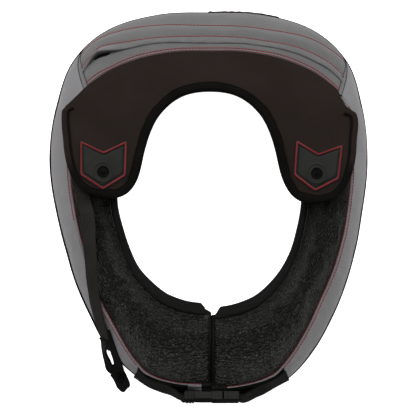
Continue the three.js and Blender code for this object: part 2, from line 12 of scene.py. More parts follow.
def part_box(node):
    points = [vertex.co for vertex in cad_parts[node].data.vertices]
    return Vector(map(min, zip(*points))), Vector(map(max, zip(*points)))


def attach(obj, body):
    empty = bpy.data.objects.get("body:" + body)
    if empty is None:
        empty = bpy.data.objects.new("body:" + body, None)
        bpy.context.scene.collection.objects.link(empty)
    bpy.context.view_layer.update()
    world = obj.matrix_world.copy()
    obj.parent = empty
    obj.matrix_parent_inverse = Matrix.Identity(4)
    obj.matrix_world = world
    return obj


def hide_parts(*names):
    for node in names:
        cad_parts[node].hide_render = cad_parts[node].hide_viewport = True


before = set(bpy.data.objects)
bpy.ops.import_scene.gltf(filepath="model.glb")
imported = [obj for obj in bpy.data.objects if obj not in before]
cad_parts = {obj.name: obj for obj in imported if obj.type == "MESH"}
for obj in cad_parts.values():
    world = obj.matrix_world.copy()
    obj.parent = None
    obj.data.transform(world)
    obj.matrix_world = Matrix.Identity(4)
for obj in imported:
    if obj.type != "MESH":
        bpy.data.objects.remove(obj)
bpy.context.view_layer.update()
scene = bpy.context.scene
mm = 0.001
print("frame:", len(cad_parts), "nodes")

# The collar's shared form, in millimetres. Angles run round the neck from the throat (0) to the nape (180),
# R is a distance from the neck's axis and Z a height above the floor. The skew is what the left side is
# smaller and the right side larger than the middle form, because the soft collar lies a little askew.
form = {
    "clearance": 0.4, "slit": 2.6, "facingThick": 2.2, "baseThick": 2.5, "toe": 10, "cordStep": 0.8, "rim": 2,
    "liningThick": 2.8, "liningFoot": 0.6, "padFoam": 3, "bowReach": 0.85, "bowRise": 0.6,
    "notchDeep": {-1: 4.2, 1: 6.8}, "notchEnd": {-1: 3.0, 1: 3.6}, "notchStart": -0.8,
    "columns": "angle bellyR bellyZ seamR seamZ lipR lipZ floorR crown cover band",
    "sections": [
        [0, 145.8, 8, 144, 30, 77.9, 27, 82, 8.5, 3, 9.5],
        [12, 146.5, 8, 143.8, 30.4, 77.4, 27.2, 81.4, 9, 3, 9.5],
        [19, 146.6, 8.2, 142, 30.7, 76.8, 27.4, 80.8, 9, 3, 9.5],
        [24, 144.4, 8.3, 136.7, 31, 76.4, 27.5, 80.4, 9, 3, 9.2],
        [36, 135.1, 8.7, 123.1, 32.2, 74, 28, 78, 8.5, 3, 8],
        [48, 126, 9, 113.9, 33.6, 72.2, 29, 76.9, 8, 3, 7],
        [62, 120.1, 9.3, 108, 36.3, 70, 31, 75.8, 7, 3, 6],
        [76, 118.3, 9.6, 106.2, 39.2, 69.3, 33.5, 75.3, 5.5, 3, 5.5],
        [92, 122.6, 10.3, 109.2, 42.8, 71.8, 37, 78.5, 4, 3, 5],
        [110, 136.3, 11.8, 118.9, 49, 76.2, 42.5, 84.2, 1.5, 3.4, 5],
        [126, 153.2, 13.5, 134, 54.5, 80.6, 50, 90.1, 0, 5.8, 5],
        [138, 168.5, 15.5, 134, 58, 84, 54.5, 95, 0, 6, 5],
        [150, 174.5, 17, 129.5, 61, 87, 58, 99.5, 0, 6, 5],
        [165, 171, 19, 123.7, 63.3, 90, 60.3, 104, 0, 6, 5],
        [180, 167, 20, 120.4, 64, 91, 61, 106, 0, 6, 5],
    ],
    "skewColumns": "angle belly seam lip",
    "skew": [
        [0, 0, 1.2, 1.4], [12, 0.8, 0.7, 1.1], [24, 1.9, 0.8, 0.9], [36, 1.2, 1.0, 0.6], [48, 1.35, 0.3, 0.1],
        [62, 0.9, 1.1, 0.2], [76, 0.6, 1.3, -0.2], [92, -0.5, 0.8, -0.7], [110, -1.1, 0.3, -0.4],
        [126, -0.5, 0, 0], [138, 0, 0, 0], [180, 0, 0, 0],
    ],
}
clearance, rim, liningThick = form["clearance"], form["rim"], form["liningThick"]
apartAtFront = form["slit"] / 2 + form["facingThick"] + clearance
napeR = form["sections"][-1][1]
shift = np.array([0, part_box("base_panel")[1].y / mm - napeR, 0])  # from the neck's axis to the frame
sides = {-1: "left", 1: "right"}
upwards = np.array([0, 0, 1])


def smooth(x, low, high):
    t = np.clip((np.asarray(x, float) - low) / (high - low), 0, 1)
    return t * t * (3 - 2 * t)


def lerp(a, b, t):
    return a + (b - a) * t


def columnOf(low, high, count):
    return np.linspace(low, high, count)[:, None]


def rowOf(low, high, count):
    return np.linspace(low, high, count)[None]


def unit(v):
    return v / np.maximum(np.linalg.norm(v, axis=-1, keepdims=True), 1e-9)


def runOf(points):
    return np.concatenate([[0], np.cumsum(np.linalg.norm(np.diff(points, axis=0), axis=1))])


def readAt(at, along, points):
    return np.stack([np.interp(at, along, points[:, k]) for k in range(points.shape[1])], -1)


def evenly(points, step):
    along = runOf(points)
    return readAt(np.linspace(0, along[-1], max(2, int(round(along[-1] / step)) + 1)), along, points)


# A smooth line through points, evenly spaced
def throughPoints(points, count):
    points = np.asarray(points, float)
    padded = np.concatenate([[2 * points[0] - points[1]], points, [2 * points[-1] - points[-2]]])
    made = []
    for k in range(1, len(padded) - 2):
        a, b, c, d = padded[k - 1:k + 3]
        for t in np.linspace(0, 1, 24, endpoint=False):
            square, cube = 2 * a - 5 * b + 4 * c - d, 3 * b - a - 3 * c + d
            made.append(0.5 * (2 * b + (c - a) * t + square * t * t + cube * t ** 3))
    made = np.array(made + [points[-1]])
    along = runOf(made[:, :3])
    return readAt(np.linspace(0, along[-1], count), along, made)


# A turn goes once round the neck: 0 is the left front end, 180 the nape and 360 the right front end
def fold(turn):
    return np.where(turn <= 180, turn, 360 - turn)


def sideOf(turn):
    return np.where(np.asarray(turn) <= 180, -1, 1)


def turnOn(side, angle):
    return angle if side < 0 else 360 - angle


def bySide(values, turn):
    return np.where(sideOf(turn) < 0, values[-1], values[1])


# The whole way round, finer beside the slit
def roundTurns(end, count, step):
    turn = np.concatenate([np.linspace(0, end, count)[:-1], np.arange(end, 180, step)])
    return np.concatenate([turn, [180], 360 - turn[::-1]])[:, None]


def toFrame(points):
    return (np.asarray(points, float) + shift) * mm


# A smooth row between a table's rows, level at both ends
def rowsAt(columns, rows, angle):
    rows = np.array(rows, float)
    keys = rows[:, 0]
    slope = np.zeros_like(rows)
    slope[1:-1] = (rows[2:] - rows[:-2]) / (keys[2:] - keys[:-2])[:, None]
    angle = np.asarray(angle, float)
    k = np.clip(np.searchsorted(keys, angle, "right") - 1, 0, len(keys) - 2)
    span = (keys[k + 1] - keys[k])[..., None]
    t = np.clip((angle - keys[k])[..., None] / span, 0, 1)
    made = lerp(rows[k], rows[k + 1], t * t * (3 - 2 * t))
    made = made + t * (1 - t) ** 2 * slope[k] * span - t * t * (1 - t) * slope[k + 1] * span
    found = {name: made[..., i] for i, name in enumerate(columns.split())}
    found["angle"] = angle
    return SimpleNamespace(**found)


def sectionAt(turn):
    turn = np.asarray(turn, float)
    s = rowsAt(form["columns"], form["sections"], fold(turn))
    skew = rowsAt(form["skewColumns"], form["skew"], fold(turn))
    s.turn, side = turn, sideOf(turn)
    s.bellyR, s.seamR = s.bellyR + side * skew.belly, s.seamR + side * skew.seam
    s.lipR, s.floorR = s.lipR + side * skew.lip, s.floorR + side * skew.lip
    return s


def place(turn, r, z):
    turn, r, z = np.broadcast_arrays(np.asarray(turn, float), r, z)
    a = np.radians(turn)
    apart = apartAtFront * (1 + np.cos(a)) / 2
    x = -np.sin(a) * r + np.where(turn <= 180, -apart, apart)
    return np.stack([x, -np.cos(a) * r, z], -1)


# The turn and R of points, found in a few rounds
def polar(points):
    angle = np.full(points.shape[:-1], 90.0)
    for _ in range(5):
        x = np.abs(points[..., 0]) - apartAtFront * (1 + np.cos(np.radians(angle))) / 2
        angle = np.degrees(np.arctan2(x, -points[..., 1]))
    return np.where(points[..., 0] < 0, angle, 360 - angle), np.hypot(x, points[..., 1])


# R and Z on the grey wall's line from the base (0) up to its top edge (1), some way out of it
def onWall(s, share, thick):
    footR, footZ = s.bellyR - form["cordStep"], s.bellyZ + clearance
    bowR = lerp(s.seamR, footR, form["bowReach"])
    bowZ = lerp(footZ, s.seamZ, form["bowRise"])
    a, b, c = (1 - share) ** 2, 2 * share * (1 - share), share ** 2
    dr = 2 * (1 - share) * (bowR - footR) + 2 * share * (s.seamR - bowR)
    dz = 2 * (1 - share) * (bowZ - footZ) + 2 * share * (s.seamZ - bowZ)
    length = np.hypot(dr, dz)
    r, z = a * footR + b * bowR + c * s.seamR, a * footZ + b * bowZ + c * s.seamZ
    return r + dz / length * thick, z - dr / length * thick


def wallPoint(turn, share, thick):
    return place(turn, *onWall(sectionAt(turn), share, thick))


# R and Z round the rolled edge along the seam, some way out of it
def onRoll(s, out, k):
    roll = greyShell["rollR"]
    return s.seamR - roll + (roll + out) * np.cos(k), s.seamZ - roll + (roll + out) * np.sin(k)


def foamTop(s, r):
    outer, inner = s.seamR - rim, s.lipR + liningThick + clearance
    q = (outer - r) / (outer - inner)
    bulge = np.maximum(0, s.crown - form["padFoam"]) * np.sin(np.pi * np.clip(q, 0, 1))
    return lerp(s.seamZ, s.lipZ, q) - s.cover + bulge


def crownAt(s, q):
    return s.crown * np.clip(np.sin(np.pi * q), 0, 1) ** 0.8


# The neck hole's edge, which turns outwards in a notch beside the slit
def lipAtFront(s):
    deep, end = bySide(form["notchDeep"], s.turn), bySide(form["notchEnd"], s.turn)
    return s.lipR + deep * (1 - smooth(s.angle, form["notchStart"], end))


def baseEdge(s, inset, t):
    r = s.bellyR - form["toe"] + (form["toe"] - inset) * np.sin(t)
    return r, inset + (s.bellyZ - inset) * (1 - np.cos(t))


# Even noise from -1 to 1 on points, by mixing whole numbers at the corners of each cell
def softNoise(points, size, seed=0):
    words = np.array([374761393, 668265263, 1274126177])
    q = np.asarray(points, float) / size
    cell = np.floor(q).astype(np.int64)
    f = q - cell
    f = f * f * f * (f * (f * 6 - 15) + 10)
    total = np.zeros(q.shape[:-1])
    for corner in product((0, 1), repeat=q.shape[-1]):
        mixed = (cell + np.array(corner)) @ words[:q.shape[-1]] + seed * 974711
        mixed = (mixed ^ (mixed >> 13)) * 1103515245 & 0xFFFFFFFF
        value = ((mixed ^ (mixed >> 16)) & 0xFFFF) / 32767.5 - 1
        total += value * np.prod(np.where(corner, f, 1 - f), axis=-1)
    return total


def noiseRound(turn, r, size, seed):
    flat = np.concatenate([place(turn, r, 0)[:, 0, :2], turn * 0], 1)
    return softNoise(flat, size, seed)[:, None]


# Node helpers
def feed(tree, socket, value):
    if isinstance(value, bpy.types.NodeSocket):
        tree.links.new(value, socket)
    else:
        socket.default_value = value


def addNode(tree, kind, inputs=None, **settings):
    node = tree.nodes.new(kind)
    for key, value in settings.items():
        setattr(node, key, value)
    for key, value in (inputs or {}).items():
        feed(tree, node.inputs[key], value)
    return node


def calc(tree, operation, *values):
    return addNode(tree, "ShaderNodeMath", dict(enumerate(values)), operation=operation).outputs[0]


def noise(tree, spot, scale, detail):
    return addNode(tree, "ShaderNodeTexNoise", {"Vector": spot, "Scale": scale, "Detail": detail}).outputs


def mixColour(tree, factor, a, b, blend="MIX"):
    node = addNode(tree, "ShaderNodeMix", data_type="RGBA", blend_type=blend)
    for key, value in (("Factor_Float", factor), ("A_Color", a), ("B_Color", b)):
        socket = next(i for i in node.inputs if i.identifier == key)
        feed(tree, socket, (*value, 1) if isinstance(value, tuple) else value)
    return next(o for o in node.outputs if o.identifier == "Result_Color")


def rangeOf(tree, value, fromLow, fromHigh, toLow=0.0, toHigh=1.0):
    inputs = {0: value, 1: fromLow, 2: fromHigh, 3: toLow, 4: toHigh}
    return addNode(tree, "ShaderNodeMapRange", inputs).outputs[0]


# A node group with its sockets by label and kind. Gives the tree, what is given to it and what it puts out.
def newGroup(name, inputs, outputs, kind="ShaderNodeTree"):
    tree = bpy.data.node_groups.new(name, kind)
    for way, sockets in (("INPUT", inputs), ("OUTPUT", outputs)):
        for label, socketKind in sockets.items():
            tree.interface.new_socket(label, in_out=way, socket_type="NodeSocket" + socketKind)
    return tree, addNode(tree, "NodeGroupInput").outputs, addNode(tree, "NodeGroupOutput").inputs


def groupNode(tree, group, inputs):
    return addNode(tree, "ShaderNodeGroup", inputs, node_tree=group).outputs


def threadWave(tree, run):
    return calc(tree, "ABSOLUTE", calc(tree, "SINE", calc(tree, "MULTIPLY", run, math.pi)))


# Sizes inside the textures: scales of noise for each metre, and shares
texture = {
    "slubScale": 900.0, "slub": 0.35, "bendScale": 260.0, "bend": 0.0012,
    "cellTurn": 0.25, "cellDraw": (0.6, 1.15, 1), "dome": 0.6, "crease": 0.24,
    "wrinkleTurn": 0.35, "wrinkleDraw": (70, 150, 100), "wrinkleBend": 4.4, "wrinkleFine": 3.0,
    "crest": (0.2, 0.9), "cloudScale": 45.0,
    "blotch": (0.35, 0.7), "dustScale": 1400.0, "crossRib": 0.6,
}


# Plain weave: threads over and under each other, on a map in metres
def weaveGroup():
    tree, given, out = newGroup("plainWeave", {"Map": "Vector", "Pitch": "Float"}, {"Height": "Float"})
    parts = addNode(tree, "ShaderNodeSeparateXYZ", {0: given["Map"]}).outputs
    runs = [calc(tree, "DIVIDE", parts[axis], given["Pitch"]) for axis in ("X", "Y")]
    both = calc(tree, "ADD", *[calc(tree, "FLOOR", run) for run in runs])
    over = calc(tree, "MODULO", calc(tree, "ABSOLUTE", both), 2.0)
    warp = calc(tree, "MULTIPLY", threadWave(tree, runs[0]), over)
    weft = calc(tree, "MULTIPLY", threadWave(tree, runs[1]), calc(tree, "SUBTRACT", 1.0, over))
    slub = noise(tree, given["Map"], texture["slubScale"], 1.0)[0]
    slub = calc(tree, "MULTIPLY", slub, texture["slub"])
    tree.links.new(calc(tree, "ADD", calc(tree, "ADD", warp, weft), slub), out["Height"])
    return tree


# Pebbled leather: domed cells with creases between them, and longer wrinkles across
# Crest, high on the cells and the wrinkles, masks the painted shade and highlight in the leather's colour
def grainGroup():
    tree, given, out = newGroup(
        "pebbleGrain", {"Map": "Vector", "Cell": "Float", "Wrinkle": "Float"},
        {"Height": "Float", "Crest": "Float", "Cloud": "Float"},
    )

    def scaled(spot, by):
        return addNode(tree, "ShaderNodeVectorMath", {0: spot, "Scale": by}, operation="SCALE").outputs[0]

    def drawn(spot, turn, scale):
        inputs = {"Vector": spot, "Rotation": (0, 0, turn), "Scale": scale}
        return addNode(tree, "ShaderNodeMapping", inputs).outputs[0]

    bend = scaled(noise(tree, given["Map"], texture["bendScale"], 2.0)["Color"], texture["bend"])
    bent = addNode(tree, "ShaderNodeVectorMath", {0: given["Map"], 1: bend}, operation="ADD").outputs[0]
    sized = scaled(bent, calc(tree, "DIVIDE", 1.0, given["Cell"]))
    cells = {"Vector": drawn(sized, texture["cellTurn"], texture["cellDraw"]), "Scale": 1.0}
    dome = addNode(tree, "ShaderNodeTexVoronoi", cells, feature="F1").outputs["Distance"]
    edge = addNode(tree, "ShaderNodeTexVoronoi", cells, feature="DISTANCE_TO_EDGE").outputs["Distance"]
    long = {"Vector": drawn(bent, texture["wrinkleTurn"], texture["wrinkleDraw"]), "Scale": 1.0,
            "Distortion": texture["wrinkleBend"], "Detail": 1.0, "Detail Scale": texture["wrinkleFine"]}
    wrinkle = addNode(tree, "ShaderNodeTexWave", long, bands_direction="Y").outputs["Fac"]
    crease = rangeOf(tree, edge, 0.0, texture["crease"])
    domed = calc(tree, "SUBTRACT", 1.0, calc(tree, "MULTIPLY", dome, texture["dome"]))
    height = calc(tree, "MULTIPLY", crease, domed)
    height = calc(tree, "ADD", height, calc(tree, "MULTIPLY", wrinkle, given["Wrinkle"]))
    tree.links.new(height, out["Height"])
    tree.links.new(calc(tree, "MULTIPLY", crease, rangeOf(tree, wrinkle, *texture["crest"])), out["Crest"])
    tree.links.new(noise(tree, given["Map"], texture["cloudScale"], 3.0)[0], out["Cloud"])
    return tree


# Soft blotches and fine dust, for handling marks on any surface
def handlingGroup():
    sockets = {"Place": "Vector", "Patch": "Float", "Amount": "Float"}
    tree, given, out = newGroup("handling", sockets, {"Mask": "Float", "Fine": "Float"})
    broad = noise(tree, given["Place"], calc(tree, "DIVIDE", 1.0, given["Patch"]), 4.0)[0]
    blotch = rangeOf(tree, broad, *texture["blotch"])
    tree.links.new(calc(tree, "MULTIPLY", blotch, given["Amount"]), out["Mask"])
    tree.links.new(noise(tree, given["Place"], texture["dustScale"], 2.0)[0], out["Fine"])
    return tree


# Fine ribs along and across a tape, on a map in metres
def ribGroup():
    sockets = {"Map": "Vector", "Along": "Float", "Across": "Float"}
    tree, given, out = newGroup("tapeRibs", sockets, {"Height": "Float"})
    parts = addNode(tree, "ShaderNodeSeparateXYZ", {0: given["Map"]}).outputs
    waves = [threadWave(tree, calc(tree, "DIVIDE", parts[axis], given[label]))
             for axis, label in (("X", "Along"), ("Y", "Across"))]
    across = calc(tree, "MULTIPLY", waves[1], texture["crossRib"])
    tree.links.new(calc(tree, "ADD", waves[0], across), out["Height"])
    return tree


handling = handlingGroup()
# What all materials of a kind share: a pattern and its sizes, how strong the handling marks are, where the
# threads are fully bright and the painted shade between them ends, how far the roughness varies, and the
# depth of the bump in metres
kinds = {
    "cloth": {"pattern": weaveGroup(), "sizes": ["Pitch"], "amount": 0.8, "bright": 1.2,
              "vary": (-0.05, 0.06), "depth": 0.0003},
    "leather": {"pattern": grainGroup(), "sizes": ["Cell", "Wrinkle"], "amount": 0.7, "vary": (-0.06, 0.08),
                "patch": 0.035},
    "tape": {"pattern": ribGroup(), "sizes": ["Along", "Across"], "amount": 0.8, "bright": 1.4,
             "vary": (-0.06, 0.06), "patch": 0.02, "depth": 0.0003},
    "hard": {"pattern": None, "amount": 0.9, "vary": (-0.05, 0.1), "depth": 0.0001},
}
# valley: how dark the painted shade between the threads is, as a share of the colour
greyWeave = {"kind": "cloth", "Pitch": 0.00055, "patch": 0.05, "valley": 0.82, "rough": 0.8, "bump": 0.35,
             "sheen": 0.03, "gloss": 0.06}
flatWeb = {"kind": "tape", "Along": 0.0014, "Across": 0.0017, "rough": 0.8, "gloss": 0.015, "bump": 0.5}
sewThread = {"kind": "tape", "Along": 0.0006, "Across": 0.0005, "valley": 0.7, "rough": 0.6, "bump": 0.2}
looks = {
    "greyCloth": {**greyWeave, "colour": (0.152, 0.148, 0.152), "worn": (0.178, 0.173, 0.178)},
    # the nape panel's cloth is the grey cloth made darker: painted shade
    "shadedNapeCloth": {**greyWeave, "colour": (0.1, 0.098, 0.099), "worn": (0.12, 0.1175, 0.119)},
    "blackCloth": {"kind": "cloth", "colour": (0.0045, 0.0045, 0.0043), "worn": (0.0075, 0.0075, 0.007),
                   "Pitch": 0.0008, "patch": 0.03, "valley": 0.6, "rough": 0.85, "bump": 0.4, "gloss": 0.02},
    "neoprene": {"kind": "cloth", "colour": (0.0172, 0.0124, 0.0106), "worn": (0.0215, 0.0158, 0.0138),
                 "Pitch": 0.0007, "patch": 0.04, "valley": 0.72, "rough": 0.88, "bump": 0.25, "gloss": 0.03},
    # the leathers' crease colour is painted shade in the grain's creases and wrinkle troughs
    "grainedLeather": {"kind": "leather", "colour": (0.007, 0.0068, 0.0038), "worn": (0.0105, 0.0105, 0.0085),
                       "crease": (0.0026, 0.0025, 0.0015), "Cell": 0.0018, "Wrinkle": 0.65, "rough": 0.34,
                       "gloss": 0.185, "bump": 1.0, "depth": 0.0009},
    "smoothLining": {"kind": "leather", "colour": (0.0062, 0.006, 0.0056), "worn": (0.0065, 0.0065, 0.006),
                     "crease": (0.0038, 0.0037, 0.0035), "Cell": 0.0008, "Wrinkle": 0.4, "rough": 0.55,
                     "gloss": 0.04, "bump": 0.25, "depth": 0.0002},
    "bindingTape": {"kind": "tape", "colour": (0.0038, 0.0035, 0.0032), "worn": (0.0064, 0.006, 0.0054),
                    "edge": (0.0155, 0.0105, 0.0092), "Along": 0.0011, "Across": 0.003, "valley": 0.6,
                    "rough": 0.75, "gloss": 0.02, "bump": 0.35},
    "webbing": {**flatWeb, "colour": (0.0065, 0.0065, 0.006), "worn": (0.0105, 0.0102, 0.0098),
                "valley": 0.5},
    "strapWebbing": {**flatWeb, "colour": (0.0175, 0.0165, 0.015), "worn": (0.0225, 0.0215, 0.0195),
                     "valley": 0.6},
    "redThread": {**sewThread, "colour": (0.20, 0.018, 0.024), "worn": (0.27, 0.04, 0.045), "gloss": 0.1},
    "darkThread": {**sewThread, "colour": (0.004, 0.004, 0.004), "worn": (0.008, 0.008, 0.008),
                   "gloss": 0.05},
    # moulded plastic: its third colour is a painted highlight on the faces that look up
    "mouldedPlastic": {"kind": "hard", "colour": (0.005, 0.0052, 0.0048), "worn": (0.009, 0.009, 0.0085),
                       "paintedTopLight": (0.021, 0.021, 0.0195), "rough": 0.5, "gloss": 0.0, "patch": 0.008,
                       "bump": 0.3},
    "badgeRubber": {"kind": "hard", "colour": (0.0165, 0.017, 0.0155), "worn": (0.021, 0.0215, 0.0195),
                    "rough": 0.65, "gloss": 0.04, "patch": 0.012, "bump": 0.4},
    "darkMetal": {"kind": "hard", "colour": (0.0025, 0.0025, 0.0025), "worn": (0.005, 0.005, 0.0048),
                  "rough": 0.4, "gloss": 0.015, "patch": 0.005, "bump": 0.15},
}


def newMaterial(name, sockets):
    material = bpy.data.materials.new(name)
    material.use_nodes = True
    tree = material.node_tree
    shader = tree.nodes["Principled BSDF"].inputs
    for label, value in sockets.items():
        shader[label].default_value = value
    coords = addNode(tree, "ShaderNodeTexCoord").outputs
    return material, tree, shader, coords["Object"], coords["UV"]


def makeMaterial(name, look):
    look = {**kinds[look["kind"]], **look}
    sockets = {"Specular IOR Level": look["gloss"], "Sheen Weight": look.get("sheen", 0.0)}
    material, tree, shader, spot, surface = newMaterial(name, sockets)
    marks = groupNode(tree, handling, {"Place": spot, "Patch": look["patch"], "Amount": look["amount"]})
    mask, fine, height, colour = marks["Mask"], marks["Fine"], marks["Fine"], look["colour"]
    if look["pattern"]:
        sizes = {label: look[label] for label in look["sizes"]}
        made = groupNode(tree, look["pattern"], {"Map": surface, **sizes})
        height = made["Height"]
    # painted shade and highlight: darker in the creases and wrinkle troughs, paler on the crests
    # the worn blotches, which are real wear, go onto the crests only
    if "crease" in look:  # dark between the cells, rubbed on them
        colour = mixColour(tree, made["Crest"], look["crease"], colour)
        mask, fine = calc(tree, "MULTIPLY", mask, made["Crest"]), made["Cloud"]
    colour = mixColour(tree, mask, colour, look["worn"])
    # painted shade: darker between the threads and ribs, where they would shade each other
    if "valley" in look:  # darker between the threads
        shade = rangeOf(tree, height, 0.2, look["bright"], look["valley"])
        colour = mixColour(tree, 1.0, colour, shade, "MULTIPLY")
    if "edge" in look:  # the tape's colour where the piece's own mark says so
        mark = addNode(tree, "ShaderNodeAttribute", attribute_name="tint")
        colour = mixColour(tree, mark.outputs["Fac"], colour, look["edge"])
    # painted highlight: faces that look up get a paler colour, standing in for light from above
    if "paintedTopLight" in look:  # paler where the face looks up
        normal = addNode(tree, "ShaderNodeNewGeometry").outputs["Normal"]
        facing = addNode(tree, "ShaderNodeSeparateXYZ", {0: normal}).outputs["Z"]
        colour = mixColour(tree, rangeOf(tree, facing, 0.3, 0.95), colour, look["paintedTopLight"])
    tree.links.new(colour, shader["Base Color"])
    rough = rangeOf(tree, fine, 0.3, 0.7, *[look["rough"] + by for by in look["vary"]])
    tree.links.new(rough, shader["Roughness"])
    relief = {"Height": height, "Strength": look["bump"], "Distance": look["depth"]}
    tree.links.new(addNode(tree, "ShaderNodeBump", relief).outputs[0], shader["Normal"])
    return material


finish = {name: makeMaterial(name, look) for name, look in looks.items()}
print("materials:", ", ".join(finish))


def newObject(name, data):
    made = bpy.data.objects.new(name, data)
    scene.collection.objects.link(made)
    return made


# Merges doubles, turns the faces out and sets smooth shading with sharp edges
def closeMesh(mesh, sharp=50):
    work = bmesh.new()
    work.from_mesh(mesh)
    bmesh.ops.remove_doubles(work, verts=work.verts, dist=1e-6)
    bmesh.ops.dissolve_degenerate(work, edges=work.edges, dist=1e-7)
    if work.calc_volume(signed=True) < 0:
        bmesh.ops.reverse_faces(work, faces=work.faces)
    work.to_mesh(mesh)
    work.free()
    mesh.shade_smooth()
    mesh.set_sharp_from_angle(angle=math.radians(sharp))
    return mesh


# A closed mesh through closed rings of points (millimetres), with a map in metres: along the rings and round
# each, or seen from above if flat
def ringMesh(name, rings, flat=False, sharp=50):
    rings = np.asarray(rings, float)
    n, m = rings.shape[:2]
    index = np.arange(n * m).reshape(n, m)
    after = np.roll(index, -1, axis=1)
    quads = np.stack([index[:-1], after[:-1], after[1:], index[1:]], -1).reshape(-1, 4)
    faces = quads.tolist() + [index[0, ::-1].tolist(), index[-1].tolist()]
    mesh = bpy.data.meshes.new(name)
    mesh.from_pydata(toFrame(rings).reshape(-1, 3).tolist(), [], faces)
    if flat:
        spots = toFrame(rings)[..., :2]
        grid = np.concatenate([spots, spots[:, :1]], axis=1)
    else:
        steps = np.linalg.norm(np.diff(rings, axis=0), axis=-1).mean(1)
        around = np.linalg.norm(np.roll(rings, -1, axis=1) - rings, axis=-1).mean(0)
        u, v = (np.concatenate([[0], np.cumsum(lengths)]) * mm for lengths in (steps, around))
        grid = np.stack(np.meshgrid(u, v, indexing="ij"), -1)
    corners = np.stack([grid[:-1, :-1], grid[:-1, 1:], grid[1:, 1:], grid[1:, :-1]], 2).reshape(-1, 2)
    corners = np.concatenate([corners, grid[0, :-1][::-1], grid[-1, :-1]])
    layer = mesh.uv_layers.new(name="surface")
    layer.data.foreach_set("uv", corners.astype(np.float32).ravel())
    return closeMesh(mesh, sharp)


# A closed ring body: the rings close on themselves and on each other
def loopMesh(name, rings, sharp=60):
    n, m = rings.shape[:2]
    index = np.arange(n * m).reshape(n, m)
    after, beyond = np.roll(index, -1, axis=1), np.roll(index, -1, axis=0)
    quads = np.stack([index, after, np.roll(after, -1, axis=0), beyond], -1).reshape(-1, 4)
    mesh = bpy.data.meshes.new(name)
    mesh.from_pydata(toFrame(rings).reshape(-1, 3).tolist(), [], quads.tolist())
    return closeMesh(mesh, sharp)


def sewIn(piece, slot, *nodes, fill=None):
    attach(piece, "root")
    if nodes:
        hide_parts(*nodes)
    print("piece:", piece.name, len(piece.data.polygons), "faces")
    return piece


def addPiece(mesh, material, slot, *nodes, fill=None):
    mesh.materials.clear()
    mesh.materials.append(finish[material])
    return sewIn(newObject(mesh.name, mesh), slot, *nodes, fill=fill)


def ringPiece(name, rings, material, slot, *nodes, fill=None, flat=False, sharp=50):
    return addPiece(ringMesh(name, rings, flat, sharp), material, slot, *nodes, fill=fill)


# A mark on a piece's points for its material
def markTint(piece, values):
    mark = piece.data.attributes.new("tint", "FLOAT", "POINT")
    mark.data.foreach_set("value", np.asarray(values, np.float32).ravel())


# Makes what a piece's modifiers give its mesh
def plainMesh(piece):
    found = bpy.data.meshes.new_from_object(piece.evaluated_get(bpy.context.evaluated_depsgraph_get()))
    piece.modifiers.clear()
    old = piece.data
    found.name = old.name
    piece.data = found
    bpy.data.meshes.remove(old)
    return found


coverCloth = {"quality": 5, "mass": 0.3, "stiffness": 15}


# Lets a patch of cover settle over its filling: pinned round its edge and where it is sewn, pressed out and
# slightly too large. Gives each point's move in millimetres.
def settleCover(rest, settle, sewn=False):
    n, m = rest.shape[:2]
    pins = np.zeros((n, m), bool) | sewn
    pins[[0, -1]] = pins[:, [0, -1]] = True
    index = np.arange(n * m).reshape(n, m)
    quads = np.stack([index[:-1, :-1], index[1:, :-1], index[1:, 1:], index[:-1, 1:]], -1).reshape(-1, 4)
    points = toFrame(rest)
    a, b, c = (points.reshape(-1, 3)[quads[:, k]] for k in (0, 1, 3))
    if (np.cross(b - a, c - a)[:, 2]).sum() < 0:
        quads = quads[:, ::-1]
    mesh = bpy.data.meshes.new("cover")
    mesh.from_pydata(points.reshape(-1, 3).tolist(), [], quads.tolist())
    patch = newObject("cover", mesh)
    patch.vertex_groups.new(name="sewn").add(index[pins].ravel().tolist(), 1.0, "REPLACE")
    cloth = patch.modifiers.new("cloth", "CLOTH")
    setting = cloth.settings
    setting.vertex_group_mass = "sewn"
    setting.quality, setting.mass = coverCloth["quality"], coverCloth["mass"]
    setting.tension_stiffness = setting.compression_stiffness = coverCloth["stiffness"]
    setting.bending_stiffness = settle["bend"]
    setting.shrink_min = -settle["spare"]
    setting.use_pressure = True
    setting.uniform_pressure_force = settle["pressure"]
    setting.effector_weights.gravity = 0
    cloth.collision_settings.use_collision = False
    cloth.point_cache.frame_start = 1
    cloth.point_cache.frame_end = settle["frames"]
    for number in range(1, settle["frames"] + 1):
        scene.frame_set(number)
    done = np.zeros(n * m * 3, np.float32)
    patch.evaluated_get(bpy.context.evaluated_depsgraph_get()).data.vertices.foreach_get("co", done)
    bpy.data.objects.remove(patch)
    bpy.data.meshes.remove(mesh)
    scene.frame_set(1)
    move = (done.reshape(n, m, 3) - points) / mm
    far = np.linalg.norm(move, axis=-1, keepdims=True)
    return move * np.minimum(1, settle["cap"] / np.maximum(far, 1e-6))


# Reads a coarse even grid of moves at finer places, smoothly
def spreadMove(move, along, across):
    for axis, share in ((0, along), (1, across)):
        count = move.shape[axis]
        x = np.clip(share, 0, 1) * (count - 1)
        i = np.minimum(np.floor(x).astype(int), count - 2)
        f = x - i
        weights = [(1 - f) ** 3, 3 * f ** 3 - 6 * f ** 2 + 4, -3 * f ** 3 + 3 * f ** 2 + 3 * f + 1, f ** 3]
        shape = [1, 1, 1]
        shape[axis] = -1
        move = sum(
            np.take(move, np.clip(i + k - 1, 0, count - 1), axis=axis) * (w / 6).reshape(shape)
            for k, w in enumerate(weights)
        )
    return move


